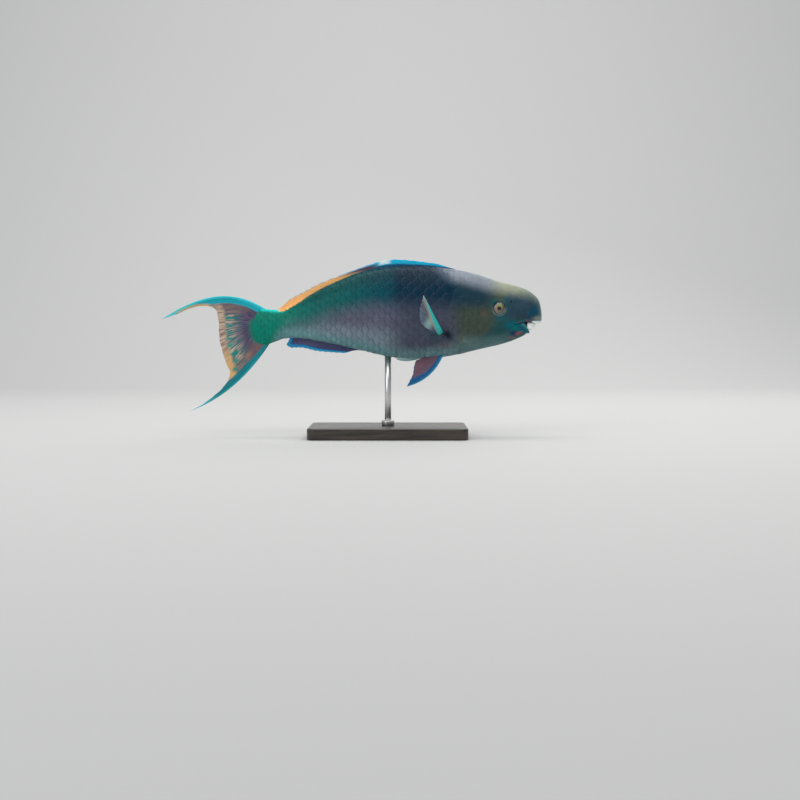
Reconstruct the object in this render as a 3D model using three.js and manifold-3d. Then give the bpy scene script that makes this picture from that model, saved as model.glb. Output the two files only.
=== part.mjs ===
import * as THREE from 'three';
import { mergeVertices } from 'three/addons/utils/BufferGeometryUtils.js';
import Module from 'manifold-3d';

// A life-size parrotfish, a big male swimming level, on a plain display stand.
// Millimetres. +X points past the snout, +Y to the fish's left and +Z up.
// The origin lies under the middle of the stand's base, on the surface it rests on.

const wasm = await Module();
wasm.setup();

// Lengthwise places of the fish
const snoutX = 214.4;
const tailBaseX = -192;
const tailCapLength = 20;
const tailCapWidth = 0.35;
const capRings = 7;
const snoutRound = 20;
const snoutRings = 9;
const bodyRings = 44;
const ringPoints = 34;
const coreRings = 24;
const corePoints = 20;

// Outline stations seen from the side, as [x, z], and half widths as [x, half width]
const backStations = [
  [snoutX, 168], [213.4, 179.2], [209.6, 192.1], [203, 199.4], [193.2, 205.8], [177.8, 211.4],
  [155.4, 216.7], [133, 224.8], [93.8, 234.1], [43.4, 239], [16.8, 239.4], [-28, 233],
  [-84, 211.5], [-130, 186.8], [-149.8, 178.3], [-165, 178.8], [-176, 180.2], [tailBaseX, 181],
];
const bellyStations = [
  [snoutX, 168], [212.5, 160.4], [207, 153], [203.6, 149.6], [195.3, 145.4], [186.2, 140.3],
  [168, 133], [128.8, 122.6], [77, 112], [39, 109.5], [12.6, 110.6], [-32, 119.8],
  [-88, 132.2], [-131.6, 138.3], [-145.6, 137.2], [-159.6, 132.3], [-171, 128.8], [tailBaseX, 127],
];
const widthStations = [
  [snoutX, 0], [213.4, 6.5], [209.6, 10.5], [204, 14], [193, 18.2], [175, 22], [153, 24.6],
  [128, 27], [100, 29.5], [60, 31], [0, 30], [-60, 24], [-110, 16], [-150, 9.4],
  [-172, 6.6], [tailBaseX, 2.2],
];
const widestLevel = 0.53;
const sectionFullness = 0.92;

// The gentle sideways bend of a slow tail beat
const bendStartX = 40;
const bendAtTail = 12;
const lobeLag = 16;

// Gaps and plates
const gap = 0.3;
const halfGap = gap / 2;
const platePlay = 0.3;
const coverThick = 3;
const cutDepth = 240;
const cutFrontX = 234.4;
const cutRearX = -400;
const cutLowZ = 0;
const cutHighZ = 300;

// Gill opening and the joints of head, trunk, rear body and tail stem, as [z, x]
const gillStations = [
  [260, 102], [233.8, 98], [191.8, 89.6], [163.8, 81.2], [140, 85.4], [121.8, 114.8], [100, 128],
];
const gillTopZ = 260;
const gillBottomZ = 100;
const gillStep = 5;
const ventX = -28;
const tailStemX = -128;
const coverTopZ = 203;
const coverBottomZ = 124;
const coverFrontX = 122;
const coverFrontBow = 5;
const coverSteps = 16;

// Mouth
const mouthCorner = [177.8, 157.4];
const mouthMiddle = [193.9, 160.9];
const mouthFront = [216, 160.3];
const throatX = 170;
const lipSwell = 1.1;
const lipReach = 2.6;
const beakProud = 1.1;
const beakThick = 3.2;
const upperBeakTop = 173.6;
const upperBeakRear = 202.5;
const upperBeakFront = 210.4;
const upperBeakFrontDrop = 1.5;
const upperBeakRearHeight = 2.4;
const upperBeakHollow = 0.45;
const beakAhead = 6;
const lowerBeakCentre = [189.6, 0, 156.5];
const lowerBeakReach = [16.2, 11.6, 15];
const lowerLipFront = [203.8, 149.7];
const lowerLipSide = [191.4, 157.9];
const lowerLipFlare = 3;
const jawBottomZ = 110;

// Eyes and nostrils
const eyeX = 153.6;
const eyeZ = 179.1;
const eyeRadius = 10;
const eyeDepth = 6.4;
const eyeSink = 3.9;
const nostrils = [[170.5, 188.2, 1.7], [175.2, 187.4, 1.2]];
const nostrilDepth = 1.3;
const nostrilSides = 10;

// Fins
const membrane = 0.7;
const edgeThickness = 0.6;
const raySwell = 0.9;
const rayTaper = 0.75;
const rootThick = 2.4;
const tailRootThick = 3;
const pectoralRootThick = 3.4;
const pelvicRootThick = 3;
const webThinning = 2.2;
const rayRows = 7;
const lowFinRows = 5;
const tailRows = 10;
const finSink = 5;
const dorsalFrontX = 94;
const spinySoftX = -18;
const dorsalRearX = -129;
const dorsalLean = 26;
const dorsalSpines = 9;
const dorsalSoftRays = 10;
const dorsalHeights = [
  [94, 4], [68, 4.6], [17, 8.4], [-3, 9.2], [-45, 5.9], [-100, 9.5], [-130, 8.9], [-156, 2.4],
];
const analFrontX = -36;
const analRearX = -131;
const analLeanFront = 24;
const analLeanRear = 10;
const analRays = 12;
const analDepths = [[-36, 0.6], [-58, 8.4], [-83, 12.7], [-102, 14.2], [-120, 12.6], [-142, 13]];
const tailRays = 15;
const tailRootTop = [-172, 179.2];
const tailRootBottom = [-166, 131];
const tailRootBulge = 17;
const tailEdge = [
  [-318.2, 164.6], [-297.5, 171.5], [-278.5, 179.8], [-259.4, 183.3], [-244.2, 179.8], [-239, 163.8],
  [-237.4, 135.8], [-230.3, 108.6], [-223.3, 86.8], [-232.7, 69.3], [-261.9, 45.2], [-279.7, 35.3],
];
const upperBow = 24.5;
const upperBowSkew = 0.4;
const upperChord = 142.7;
const lowerBow = 12;
const lowerBowSkew = -0.2;
const lowerChord = 149.3;
const bowStart = 0.12;
const bowFull = 0.45;
const bowPower = 0.8;
const bowMiddle = 0.4;
const lobeSplits = [0, 1 / 3, 2 / 3, 1];
const upperTipX = -258;
const lowerTipZ = 69;
const pectoralRays = 12;
const pectoralBaseTop = [82.5, 149];
const pectoralBaseBottom = [74.5, 136];
const pectoralTips = [
  [50.5, 76, 198.5], [47.6, 82, 189], [44.1, 80, 175], [45.5, 72, 161], [54, 61, 152.6], [65, 49, 147],
];
const pelvicRays = 6;
const pelvicBaseFront = [78, 9.5];
const pelvicBaseRear = [60, 5.5];
const rightPelvicTips = [
  [25.9, 24, 71.5], [30.2, 21, 79.8], [34.6, 17, 89], [36, 13, 98.4], [38.8, 9, 107.2],
];
const leftPelvicTips = [
  [11.6, 11, 104.6], [17, 9.5, 105.4], [24, 8.4, 106], [31, 7.4, 106.4], [39, 6.4, 106.6],
];
const pelvicSwing = [0.6, -0.8];
const rightPelvicBow = 9;
const leftPelvicBow = 1.2;

// Stand
const baseLength = 220;
const baseWidth = 130;
const baseHeight = 16;
const baseCorner = 10;
const baseBevel = 2;
const rodX = 0;
const rodRadius = 4.5;
const rodTopZ = 122;
const collarRadius = 9;
const collarHeight = 7;
const roundSides = 24;
const eyeSides = 18;

// Curves

// A smooth curve through stations, without overshoot: each slope is the harmonic mean of its neighbours'.
function curveThrough(stations, warp = (value) => value) {
  const knots = stations.map(([place, value]) => [warp(place), value]).sort((a, b) => a[0] - b[0]);
  const count = knots.length;
  const rise = [];
  for (let i = 0; i < count - 1; i += 1) {
    rise.push((knots[i + 1][1] - knots[i][1]) / (knots[i + 1][0] - knots[i][0]));
  }
  const slope = knots.map((knot, i) => {
    if (i === 0) return rise[0];
    if (i === count - 1) return rise[count - 2];
    const turns = rise[i - 1] * rise[i] <= 0;
    return turns ? 0 : (2 * rise[i - 1] * rise[i]) / (rise[i - 1] + rise[i]);
  });
  return (place) => {
    const at = THREE.MathUtils.clamp(warp(place), knots[0][0], knots[count - 1][0]);
    let i = 0;
    while (i < count - 2 && at > knots[i + 1][0]) i += 1;
    const span = knots[i + 1][0] - knots[i][0];
    const t = (at - knots[i][0]) / span;
    const t2 = t * t;
    const t3 = t2 * t;
    return (2 * t3 - 3 * t2 + 1) * knots[i][1] + (t3 - 2 * t2 + t) * span * slope[i]
      + (3 * t2 - 2 * t3) * knots[i + 1][1] + (t3 - t2) * span * slope[i + 1];
  };
}

// The snout is blunt, so its outline is smooth in the square root of the distance behind it.
const behindSnout = (x) => Math.sqrt(Math.max(0, snoutX - x));
const backAt = curveThrough(backStations, behindSnout);
const bellyAt = curveThrough(bellyStations, behindSnout);
const widthAt = curveThrough(widthStations, behindSnout);
const gillAt = curveThrough(gillStations);
const dorsalHeightAt = curveThrough(dorsalHeights);
const analDepthAt = curveThrough(analDepths);
const mix = THREE.MathUtils.lerp;

// The middle of the body seen from above: straight ahead of bendStartX, then a parabola towards the tail.
// Behind the tail base the fin runs on in the same direction and its lobes lag behind.
function middleAt(x) {
  const reach = bendStartX - tailBaseX;
  if (x > bendStartX) return 0;
  if (x > tailBaseX) return bendAtTail * ((bendStartX - x) / reach) ** 2;
  const behind = tailBaseX - x;
  const finReach = tailBaseX - tailEdge[0][0];
  return bendAtTail + (2 * bendAtTail / reach) * behind - lobeLag * (behind / finReach) ** 2;
}

// Top, bottom, widest level and half width of the section at x. The tail end closes as a half ellipse.
function sectionAt(x) {
  const capStart = tailBaseX + tailCapLength;
  const shrink = x < capStart ? Math.sqrt(Math.max(0, 1 - ((capStart - x) / tailCapLength) ** 2)) : 1;
  const rawTop = backAt(x);
  const rawBottom = bellyAt(x);
  const centre = (rawTop + rawBottom) / 2;
  const top = centre + (rawTop - centre) * shrink;
  const bottom = centre + (rawBottom - centre) * shrink;
  const half = x < capStart ? widthAt(x) * mix(tailCapWidth, 1, shrink) : widthAt(x);
  return { top, bottom, level: mix(bottom, top, widestLevel), half };
}

// Distance out from the middle to the flank at x and z.
function flankAt(x, z) {
  const { top, bottom, level, half } = sectionAt(x);
  const rise = z > level ? (z - level) / (top - level) : (level - z) / (level - bottom);
  return half * Math.sqrt(Math.max(0, 1 - rise * rise)) ** sectionFullness;
}

// Solids

function toSolid(geometry) {
  const bare = new THREE.BufferGeometry();
  bare.setAttribute('position', geometry.getAttribute('position').clone());
  if (geometry.index) bare.setIndex(geometry.index.clone());
  const welded = mergeVertices(bare, 1e-4);
  return new wasm.Manifold(new wasm.Mesh({
    numProp: 3,
    vertProperties: new Float32Array(welded.getAttribute('position').array),
    triVerts: new Uint32Array(welded.index.array),
  }));
}

function toGeometry(solid) {
  const mesh = solid.getMesh();
  const geometry = new THREE.BufferGeometry();
  geometry.setAttribute('position', new THREE.BufferAttribute(new Float32Array(mesh.vertProperties), 3));
  geometry.setIndex(new THREE.BufferAttribute(new Uint32Array(mesh.triVerts), 1));
  geometry.computeVertexNormals();
  return geometry;
}

// The biggest of a solid's separate bodies.
function largest(solid) {
  return solid.decompose().reduce((best, next) => (next.volume() > best.volume() ? next : best));
}

// A closed geometry from a grid of rows of points, each row a closed ring, with a pole point at each end.
function ringGeometry(rings, firstPole, lastPole) {
  const around = rings[0].length;
  const points = [firstPole, ...rings.flat(), lastPole];
  const index = [];
  const at = (row, column) => 1 + row * around + (column % around);
  for (let column = 0; column < around; column += 1) {
    index.push(0, at(0, column + 1), at(0, column));
    index.push(points.length - 1, at(rings.length - 1, column), at(rings.length - 1, column + 1));
    for (let row = 0; row < rings.length - 1; row += 1) {
      index.push(at(row, column), at(row + 1, column + 1), at(row + 1, column));
      index.push(at(row, column), at(row, column + 1), at(row + 1, column + 1));
    }
  }
  const geometry = new THREE.BufferGeometry();
  geometry.setAttribute('position', new THREE.Float32BufferAttribute(points.flatMap((p) => p.toArray()), 3));
  geometry.setIndex(index);
  return geometry;
}

// A slab through the whole fish with the outline given as [x, z] points, from y = low to y = high.
function slab(outline, low = -cutDepth / 2, high = cutDepth / 2) {
  const shape = new THREE.Shape(outline.map(([x, z]) => new THREE.Vector2(x, z)));
  const geometry = new THREE.ExtrudeGeometry(shape, { depth: high - low, bevelEnabled: false });
  geometry.rotateX(Math.PI / 2);
  geometry.translate(0, high, 0);
  return toSolid(geometry);
}

// An ellipsoid with the given centre and half sizes.
function ellipsoid([x, y, z], [a, b, c], sides = roundSides) {
  const geometry = new THREE.SphereGeometry(1, sides, sides / 2);
  geometry.scale(a, b, c);
  geometry.translate(x, y, z);
  return toSolid(geometry);
}

// Body

// Ring places from snout to tail base: close together round the snout and the tail end.
function ringPlaces(straightRings) {
  const places = [];
  for (let i = 1; i <= snoutRings; i += 1) {
    places.push(snoutX - snoutRound * (1 - Math.cos((i / snoutRings) * (Math.PI / 2))));
  }
  const capStart = tailBaseX + tailCapLength;
  const straight = snoutX - snoutRound - capStart;
  for (let i = 1; i <= straightRings; i += 1) {
    places.push(snoutX - snoutRound - (straight * i) / straightRings);
  }
  for (let i = 1; i < capRings; i += 1) {
    places.push(capStart - tailCapLength * Math.sin((i / capRings) * (Math.PI / 2)));
  }
  return places;
}

// Height of the mouth line at x.
function mouthLineAt(x) {
  const [cornerX, cornerZ] = mouthCorner;
  const [middleX, middleZ] = mouthMiddle;
  const [frontX, frontZ] = mouthFront;
  if (x < middleX) return mix(cornerZ, middleZ, (x - cornerX) / (middleX - cornerX));
  return mix(middleZ, frontZ, (x - middleX) / (frontX - middleX));
}

// Lips swell along both edges of the mouth and fade out behind its corner.
function lipAt(x, z) {
  const [cornerX, cornerZ] = mouthCorner;
  const line = x > cornerX ? mouthLineAt(x) : cornerZ;
  const off = Math.hypot(z - line, Math.min(0, x - cornerX)) / lipReach;
  return lipSwell * Math.exp(-off * off);
}

// One ring of the body at x: a closed oval, with every point moved out by the lip swelling.
function bodyRing(x, around) {
  const { top, bottom, level, half } = sectionAt(x);
  const middle = middleAt(x);
  const ring = [];
  for (let i = 0; i < around; i += 1) {
    const angle = (i / around) * 2 * Math.PI;
    const side = Math.sin(angle);
    const rise = Math.cos(angle);
    const z = level + rise * (rise > 0 ? top - level : level - bottom);
    const out = half * Math.abs(side) ** sectionFullness + lipAt(x, z) * Math.abs(side);
    ring.push(new THREE.Vector3(x, middle + Math.sign(side) * out, z));
  }
  return ring;
}

// The whole body as one closed shell, moved out along its normals by the given distance.
function bodyShell(grow = 0, straightRings = bodyRings, around = ringPoints) {
  const rings = ringPlaces(straightRings).map((x) => bodyRing(x, around));
  const first = sectionAt(snoutX);
  const last = sectionAt(tailBaseX);
  const geometry = ringGeometry(
    rings,
    new THREE.Vector3(snoutX, middleAt(snoutX), first.level),
    new THREE.Vector3(tailBaseX, middleAt(tailBaseX), last.level),
  );
  geometry.computeVertexNormals();
  const position = geometry.getAttribute('position');
  const normal = geometry.getAttribute('normal');
  for (let i = 0; i < position.count; i += 1) {
    position.setXYZ(
      i,
      position.getX(i) + normal.getX(i) * grow,
      position.getY(i) + normal.getY(i) * grow,
      position.getZ(i) + normal.getZ(i) * grow,
    );
  }
  return toSolid(geometry);
}

const body = bodyShell();
const bodyGrown = bodyShell(gap);
const beakShell = bodyShell(beakProud);
const beakCore = bodyShell(-beakThick, coreRings, corePoints);
const beakCoreInner = bodyShell(-beakThick - platePlay, coreRings, corePoints);
const coverCore = bodyShell(-coverThick, coreRings, corePoints);
const coverCoreInner = bodyShell(-coverThick - platePlay, coreRings, corePoints);

// Outline of the part of the side view ahead of the gill opening, moved ahead by the given distance.
function aheadOfGills(shift) {
  const outline = [[cutFrontX, gillBottomZ], [cutFrontX, gillTopZ]];
  for (let z = gillTopZ; z >= gillBottomZ; z -= gillStep) outline.push([gillAt(z) + shift, z]);
  return outline;
}

// Outline of the gill cover: the gill opening behind, a bowed front edge, and the given margin all round.
function coverOutline(margin) {
  const outline = [];
  const top = coverTopZ + margin;
  const bottom = coverBottomZ - margin;
  for (let i = 0; i <= coverSteps; i += 1) {
    const z = mix(bottom, top, i / coverSteps);
    outline.push([gillAt(z) + halfGap - margin, z]);
  }
  for (let i = 0; i <= coverSteps; i += 1) {
    const z = mix(top, bottom, i / coverSteps);
    outline.push([coverFrontX + margin + coverFrontBow * Math.sin((Math.PI * i) / coverSteps), z]);
  }
  return outline;
}

// Outline of the lower jaw: under the mouth line, behind the lower lip's edge, ahead of the throat.
function jawOutline() {
  const [cornerX, cornerZ] = mouthCorner;
  return [
    [cornerX, cornerZ], [throatX, jawBottomZ], [snoutX, jawBottomZ],
    [lowerLipFront[0] + lowerLipFlare, lowerLipFront[1] - lowerLipFlare], lowerLipFront, lowerLipSide,
    [lowerLipSide[0], mouthLineAt(lowerLipSide[0])],
  ];
}

// Everything under the mouth line and ahead of the throat.
function underMouth() {
  const [cornerX, cornerZ] = mouthCorner;
  return [
    [cornerX - gap, cornerZ + gap], [throatX - gap, jawBottomZ], [cutFrontX, jawBottomZ],
    [cutFrontX, mouthFront[1] + gap], [mouthMiddle[0], mouthMiddle[1] + gap],
  ];
}

// Outline of the upper beak: a plate at the front of the upper jaw, deepest in the middle and running back
// over the bite.
function upperBeakOutline(margin) {
  const z = (x) => mouthLineAt(x) + 2 * gap - margin;
  const aheadX = snoutX + beakAhead;
  const middleX = (upperBeakFront + upperBeakRear) / 2;
  return [
    [aheadX, z(snoutX)], [aheadX, upperBeakTop + margin],
    [upperBeakFront, upperBeakTop - upperBeakFrontDrop + margin],
    [middleX - margin, mix(z(upperBeakRear), upperBeakTop, upperBeakHollow) + margin],
    [upperBeakRear - margin, z(upperBeakRear) + upperBeakRearHeight + 2 * margin],
    [upperBeakRear - margin, z(upperBeakRear)],
  ];
}

function lowerBeakOutline(margin) {
  const lift = margin + gap;
  return [
    [lowerLipSide[0] - margin, mouthLineAt(lowerLipSide[0]) - gap + margin],
    [lowerLipSide[0] - margin, lowerLipSide[1] + gap - margin],
    [lowerLipFront[0] - lift, lowerLipFront[1] + gap - margin],
    [snoutX + beakAhead, lowerLipFront[1] - lowerLipFlare],
    [snoutX + beakAhead, mouthLineAt(snoutX) - gap + margin],
  ];
}

// Eye

function eyeSolid(side, margin = 0) {
  const out = flankAt(eyeX, eyeZ) - eyeSink;
  return ellipsoid(
    [eyeX, side * out, eyeZ],
    [eyeRadius + margin, eyeDepth + margin, eyeRadius + margin],
    eyeSides,
  );
}

function nostrilPit([x, z, radius], side) {
  return ellipsoid([x, side * flankAt(x, z), z], [radius, radius * nostrilDepth, radius], nostrilSides);
}

// Fins

// A fin over one middle surface. place(u, v) gives that surface, with u from the first ray to the last and v
// from root to edge. Each ray is a crest between two valleys of membrane, and both faces are split alike.
function finSolid({ place, rays, rows = rayRows, root = rootThick, from = 0, to = 1, trim = [0, 0] }) {
  const columns = 2 * rays;
  const step = 1e-3;
  const faces = [[], []];
  for (let i = 0; i <= columns; i += 1) {
    const u = mix(from, to, i / columns);
    const crest = i % 2 === 1 || (i === 0 && !trim[0]) || (i === columns && !trim[1]);
    for (let j = 0; j <= rows; j += 1) {
      const v = j / rows;
      const point = place(u, v);
      const across = place(Math.min(1, u + step), v).sub(place(Math.max(0, u - step), v)).normalize();
      const along = place(u, Math.min(1, v + step)).sub(place(u, Math.max(0, v - step))).normalize();
      const normal = across.clone().cross(along).normalize();
      if (i === 0) point.addScaledVector(across, trim[0]);
      if (i === columns) point.addScaledVector(across, -trim[1]);
      const web = mix(root, membrane, Math.min(1, webThinning * v)) * mix(1, edgeThickness / membrane, v);
      const half = (web + (crest ? raySwell * (1 - rayTaper * v) : 0)) / 2;
      faces[0].push(point.clone().addScaledVector(normal, half));
      faces[1].push(point.clone().addScaledVector(normal, -half));
    }
  }
  const points = [...faces[0], ...faces[1]];
  const other = faces[0].length;
  const at = (i, j) => i * (rows + 1) + j;
  const index = [];
  const quad = (a, b, c, d) => index.push(a, b, c, a, c, d);
  for (let i = 0; i < columns; i += 1) {
    for (let j = 0; j < rows; j += 1) {
      const [a, b, c, d] = [at(i, j), at(i + 1, j), at(i + 1, j + 1), at(i, j + 1)];
      index.push(a, b, c, a, c, d);
      index.push(other + a, other + c, other + b, other + a, other + d, other + c);
    }
    quad(at(i, 0), other + at(i, 0), other + at(i + 1, 0), at(i + 1, 0));
    quad(at(i + 1, rows), other + at(i + 1, rows), other + at(i, rows), at(i, rows));
  }
  for (let j = 0; j < rows; j += 1) {
    quad(at(0, j + 1), other + at(0, j + 1), other + at(0, j), at(0, j));
    quad(at(columns, j), other + at(columns, j), other + at(columns, j + 1), at(columns, j + 1));
  }
  const geometry = new THREE.BufferGeometry();
  geometry.setAttribute('position', new THREE.Float32BufferAttribute(points.flatMap((p) => p.toArray()), 3));
  geometry.setIndex(index);
  return toSolid(geometry);
}

// A fin's solid with what lies inside the body cut away.
function rooted(fin) {
  return largest(fin.subtract(bodyGrown));
}

// Fins folded back along the body: roots are evenly spaced and sunk by finSink up to the first row, and from
// there each ray leans back by the given length.
function outOfBody(v) {
  const sunkShare = 1 / lowFinRows;
  return v < sunkShare ? [0, v / sunkShare - 1] : [(v - sunkShare) / (1 - sunkShare), 0];
}

function dorsalPlace(u, v) {
  const [risen, sunk] = outOfBody(v);
  const x = mix(dorsalFrontX, dorsalRearX, u) - dorsalLean * risen;
  const z = backAt(x) + finSink * sunk + dorsalHeightAt(x) * risen;
  return new THREE.Vector3(x, middleAt(x), z);
}

function analPlace(u, v) {
  const [risen, sunk] = outOfBody(v);
  const x = mix(analFrontX, analRearX, u) - mix(analLeanFront, analLeanRear, u) * risen;
  const z = bellyAt(x) - finSink * sunk - analDepthAt(x) * risen;
  return new THREE.Vector3(x, middleAt(x), z);
}

const edgeCurve = new THREE.CatmullRomCurve3(
  tailEdge.map(([x, z]) => new THREE.Vector3(x, 0, z)),
  false,
  'centripetal',
);

// The tail fin: rays fan out from a bulging root to the crescent edge. The rays of both lobes are bowed like
// their outer margins, the middle ones straight.
function tailPlace(u, v) {
  const rootX = mix(tailRootTop[0], tailRootBottom[0], u) - tailRootBulge * Math.sin(Math.PI * u);
  const root = new THREE.Vector3(rootX, 0, mix(tailRootTop[1], tailRootBottom[1], u));
  const tip = edgeCurve.getPointAt(u);
  const chord = tip.clone().sub(root);
  const upward = u < 0.5;
  const outward = new THREE.Vector3(chord.z, 0, -chord.x).multiplyScalar(upward ? 1 : -1).normalize();
  const fade = THREE.MathUtils.smoothstep(Math.abs(1 - 2 * u), bowStart, bowFull);
  const [bowSize, bowSkew, longest] = upward
    ? [upperBow, upperBowSkew, upperChord]
    : [lowerBow, lowerBowSkew, lowerChord];
  const share = (chord.length() / longest) ** bowPower;
  const bow = bowSize * share * fade * (1 + bowSkew * (bowMiddle - v)) * 4 * v * (1 - v);
  const point = root.addScaledVector(chord, v).addScaledVector(outward, bow);
  point.y = middleAt(point.x);
  return point;
}

// Points along a short curve given as [x, out, z], on the side given by its sign.
function sideCurve(points, side) {
  return new THREE.CatmullRomCurve3(
    points.map(([x, out, z]) => new THREE.Vector3(x, side * Math.abs(out), z)),
    false,
    'centripetal',
  );
}

function pectoralPlace(side) {
  const tips = sideCurve(pectoralTips, side);
  return (u, v) => {
    const x = mix(pectoralBaseTop[0], pectoralBaseBottom[0], u);
    const z = mix(pectoralBaseTop[1], pectoralBaseBottom[1], u);
    const root = new THREE.Vector3(x, side * (flankAt(x, z) - finSink), z);
    return root.lerp(tips.getPointAt(u), v);
  };
}

function pelvicPlace(side, tipPoints, bow) {
  const tips = sideCurve(tipPoints, side);
  return (u, v) => {
    const x = mix(pelvicBaseFront[0], pelvicBaseRear[0], u);
    const out = mix(pelvicBaseFront[1], pelvicBaseRear[1], u);
    const root = new THREE.Vector3(x, side * out, bellyAt(x) + finSink);
    const point = root.lerp(tips.getPointAt(u), v);
    const swing = bow * (1 - u) * 4 * v * (1 - v);
    point.x += swing * pelvicSwing[0];
    point.z += swing * pelvicSwing[1];
    return point;
  };
}

// Stand

function standBase() {
  const halfLength = baseLength / 2 - baseBevel;
  const halfWidth = baseWidth / 2 - baseBevel;
  const shape = new THREE.Shape();
  const corners = [[1, 1], [-1, 1], [-1, -1], [1, -1]];
  corners.forEach(([sx, sy], i) => {
    const start = i * (Math.PI / 2);
    const centre = [sx * (halfLength - baseCorner), sy * (halfWidth - baseCorner)];
    shape.absarc(...centre, baseCorner, start, start + Math.PI / 2);
  });
  const geometry = new THREE.ExtrudeGeometry(shape, {
    depth: baseHeight - 2 * baseBevel,
    bevelThickness: baseBevel,
    bevelSize: baseBevel,
    bevelSegments: 1,
    curveSegments: 5,
  });
  geometry.translate(0, 0, baseBevel);
  return toSolid(geometry);
}

function post(radius, low, high) {
  const geometry = new THREE.CylinderGeometry(radius, radius, high - low, roundSides);
  geometry.rotateX(Math.PI / 2);
  geometry.translate(rodX, 0, (low + high) / 2);
  return toSolid(geometry);
}

// The collar stands on the base round the rod's foot.
function standCollar() {
  const low = baseHeight + gap;
  return post(collarRadius, low, low + collarHeight).subtract(post(rodRadius + gap, 0, rodTopZ));
}

// Assembly

const upperBeak = beakShell.intersect(slab(upperBeakOutline(0))).subtract(beakCore);
const upperBeakRoom = slab(upperBeakOutline(gap)).subtract(beakCoreInner);
const lowerBeak = ellipsoid(lowerBeakCentre, lowerBeakReach).intersect(slab(lowerBeakOutline(0)));
const lowerBeakRoom = ellipsoid(lowerBeakCentre, lowerBeakReach.map((reach) => reach + gap))
  .intersect(slab(lowerBeakOutline(gap)));
const coverRoom = slab(coverOutline(halfGap)).subtract(coverCoreInner);
const wholeSide = [[cutRearX, cutLowZ], [cutFrontX, cutLowZ], [cutFrontX, cutHighZ], [cutRearX, cutHighZ]];
const leftHalf = slab(wholeSide, halfGap, cutDepth / 2);
const rightHalf = slab(wholeSide, -cutDepth / 2, -halfGap);

// The part of space between two places along the fish.
function crossBand(frontX, rearX) {
  return slab([[rearX, cutLowZ], [frontX, cutLowZ], [frontX, cutHighZ], [rearX, cutHighZ]]);
}

// The part of space between two heights.
function levelBand(high, low) {
  return slab([[cutRearX, low], [cutFrontX, low], [cutFrontX, high], [cutRearX, high]]);
}

function headSolid() {
  let head = body.intersect(slab(aheadOfGills(halfGap))).subtract(slab(underMouth()));
  head = head.subtract(upperBeakRoom).subtract(coverRoom);
  for (const side of [-1, 1]) {
    head = head.subtract(eyeSolid(side, gap));
    for (const pit of nostrils) head = head.subtract(nostrilPit(pit, side));
  }
  return largest(head);
}

function gillCover(half) {
  return largest(body.intersect(slab(coverOutline(-halfGap))).intersect(half).subtract(coverCore));
}

const jaw = largest(body.intersect(slab(jawOutline())).subtract(lowerBeakRoom));
const behindGills = body.subtract(slab(aheadOfGills(-halfGap))).subtract(coverRoom);
const trunk = largest(behindGills.intersect(crossBand(snoutX, ventX + halfGap)));
const rearBody = body.intersect(crossBand(ventX - halfGap, tailStemX + halfGap));
const tailStem = body.intersect(crossBand(tailStemX - halfGap, tailBaseX - 10));

const skinFront = { color: 0x12303f, roughness: 0.5, metalness: 0 };
const skinRear = { color: 0x1a6a62, roughness: 0.5, metalness: 0 };
const finBlue = { color: 0x2fb4c4, roughness: 0.45, metalness: 0 };
const finOrange = { color: 0xd79a58, roughness: 0.45, metalness: 0 };
const finRed = { color: 0x7a4a52, roughness: 0.45, metalness: 0 };
const beakPale = { color: 0xc8dfe0, roughness: 0.35, metalness: 0 };
const eyeGold = { color: 0x8a8a58, roughness: 0.15, metalness: 0 };
const standWood = { color: 0x17130f, roughness: 0.4, metalness: 0 };
const standSteel = { color: 0xb8babc, roughness: 0.3, metalness: 1 };

const fish = new THREE.Group();

function add(name, solid, look) {
  const mesh = new THREE.Mesh(toGeometry(solid), new THREE.MeshStandardMaterial(look));
  mesh.name = name;
  fish.add(mesh);
}

add('head', headSolid(), skinFront);
add('gill_cover_right', gillCover(rightHalf), skinFront);
add('gill_cover_left', gillCover(leftHalf), skinFront);
add('lower_jaw', jaw, skinFront);
add('upper_beak', largest(upperBeak), beakPale);
add('lower_beak', largest(lowerBeak), beakPale);
add('eye_right', eyeSolid(-1), eyeGold);
add('eye_left', eyeSolid(1), eyeGold);
add('trunk', trunk, skinFront);
add('rear_body', largest(rearBody), skinRear);
add('tail_stem', largest(tailStem), skinRear);

const splitU = (dorsalFrontX - spinySoftX) / (dorsalFrontX - dorsalRearX);
add('dorsal_fin_spiny', rooted(finSolid({
  place: dorsalPlace, rays: dorsalSpines, rows: lowFinRows, from: 0, to: splitU, trim: [0, halfGap],
})), finBlue);
add('dorsal_fin_soft', rooted(finSolid({
  place: dorsalPlace, rays: dorsalSoftRays, rows: lowFinRows, from: splitU, to: 1, trim: [halfGap, 0],
})), finOrange);
add('anal_fin', rooted(finSolid({ place: analPlace, rays: analRays, rows: lowFinRows })), finBlue);

// The tail fin in three fans of rays. Both lobes are parted again across, ahead of their thin tips.
const [upperLobe, middleWeb, lowerLobe] = [0, 1, 2].map((i) => rooted(finSolid({
  place: tailPlace,
  rays: tailRays / 3,
  rows: tailRows,
  root: tailRootThick,
  from: lobeSplits[i],
  to: lobeSplits[i + 1],
  trim: [i === 0 ? 0 : halfGap, i === 2 ? 0 : halfGap],
})));
add('tail_fin_upper_lobe', largest(upperLobe.intersect(crossBand(snoutX, upperTipX + halfGap))), finBlue);
add('tail_fin_upper_tip', largest(upperLobe.intersect(crossBand(upperTipX - halfGap, cutRearX))), finBlue);
add('tail_fin_middle', middleWeb, finBlue);
add('tail_fin_lower_lobe', largest(lowerLobe.intersect(levelBand(cutHighZ, lowerTipZ + halfGap))), finBlue);
add('tail_fin_lower_tip', largest(lowerLobe.intersect(levelBand(lowerTipZ - halfGap, cutLowZ))), finBlue);

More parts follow.
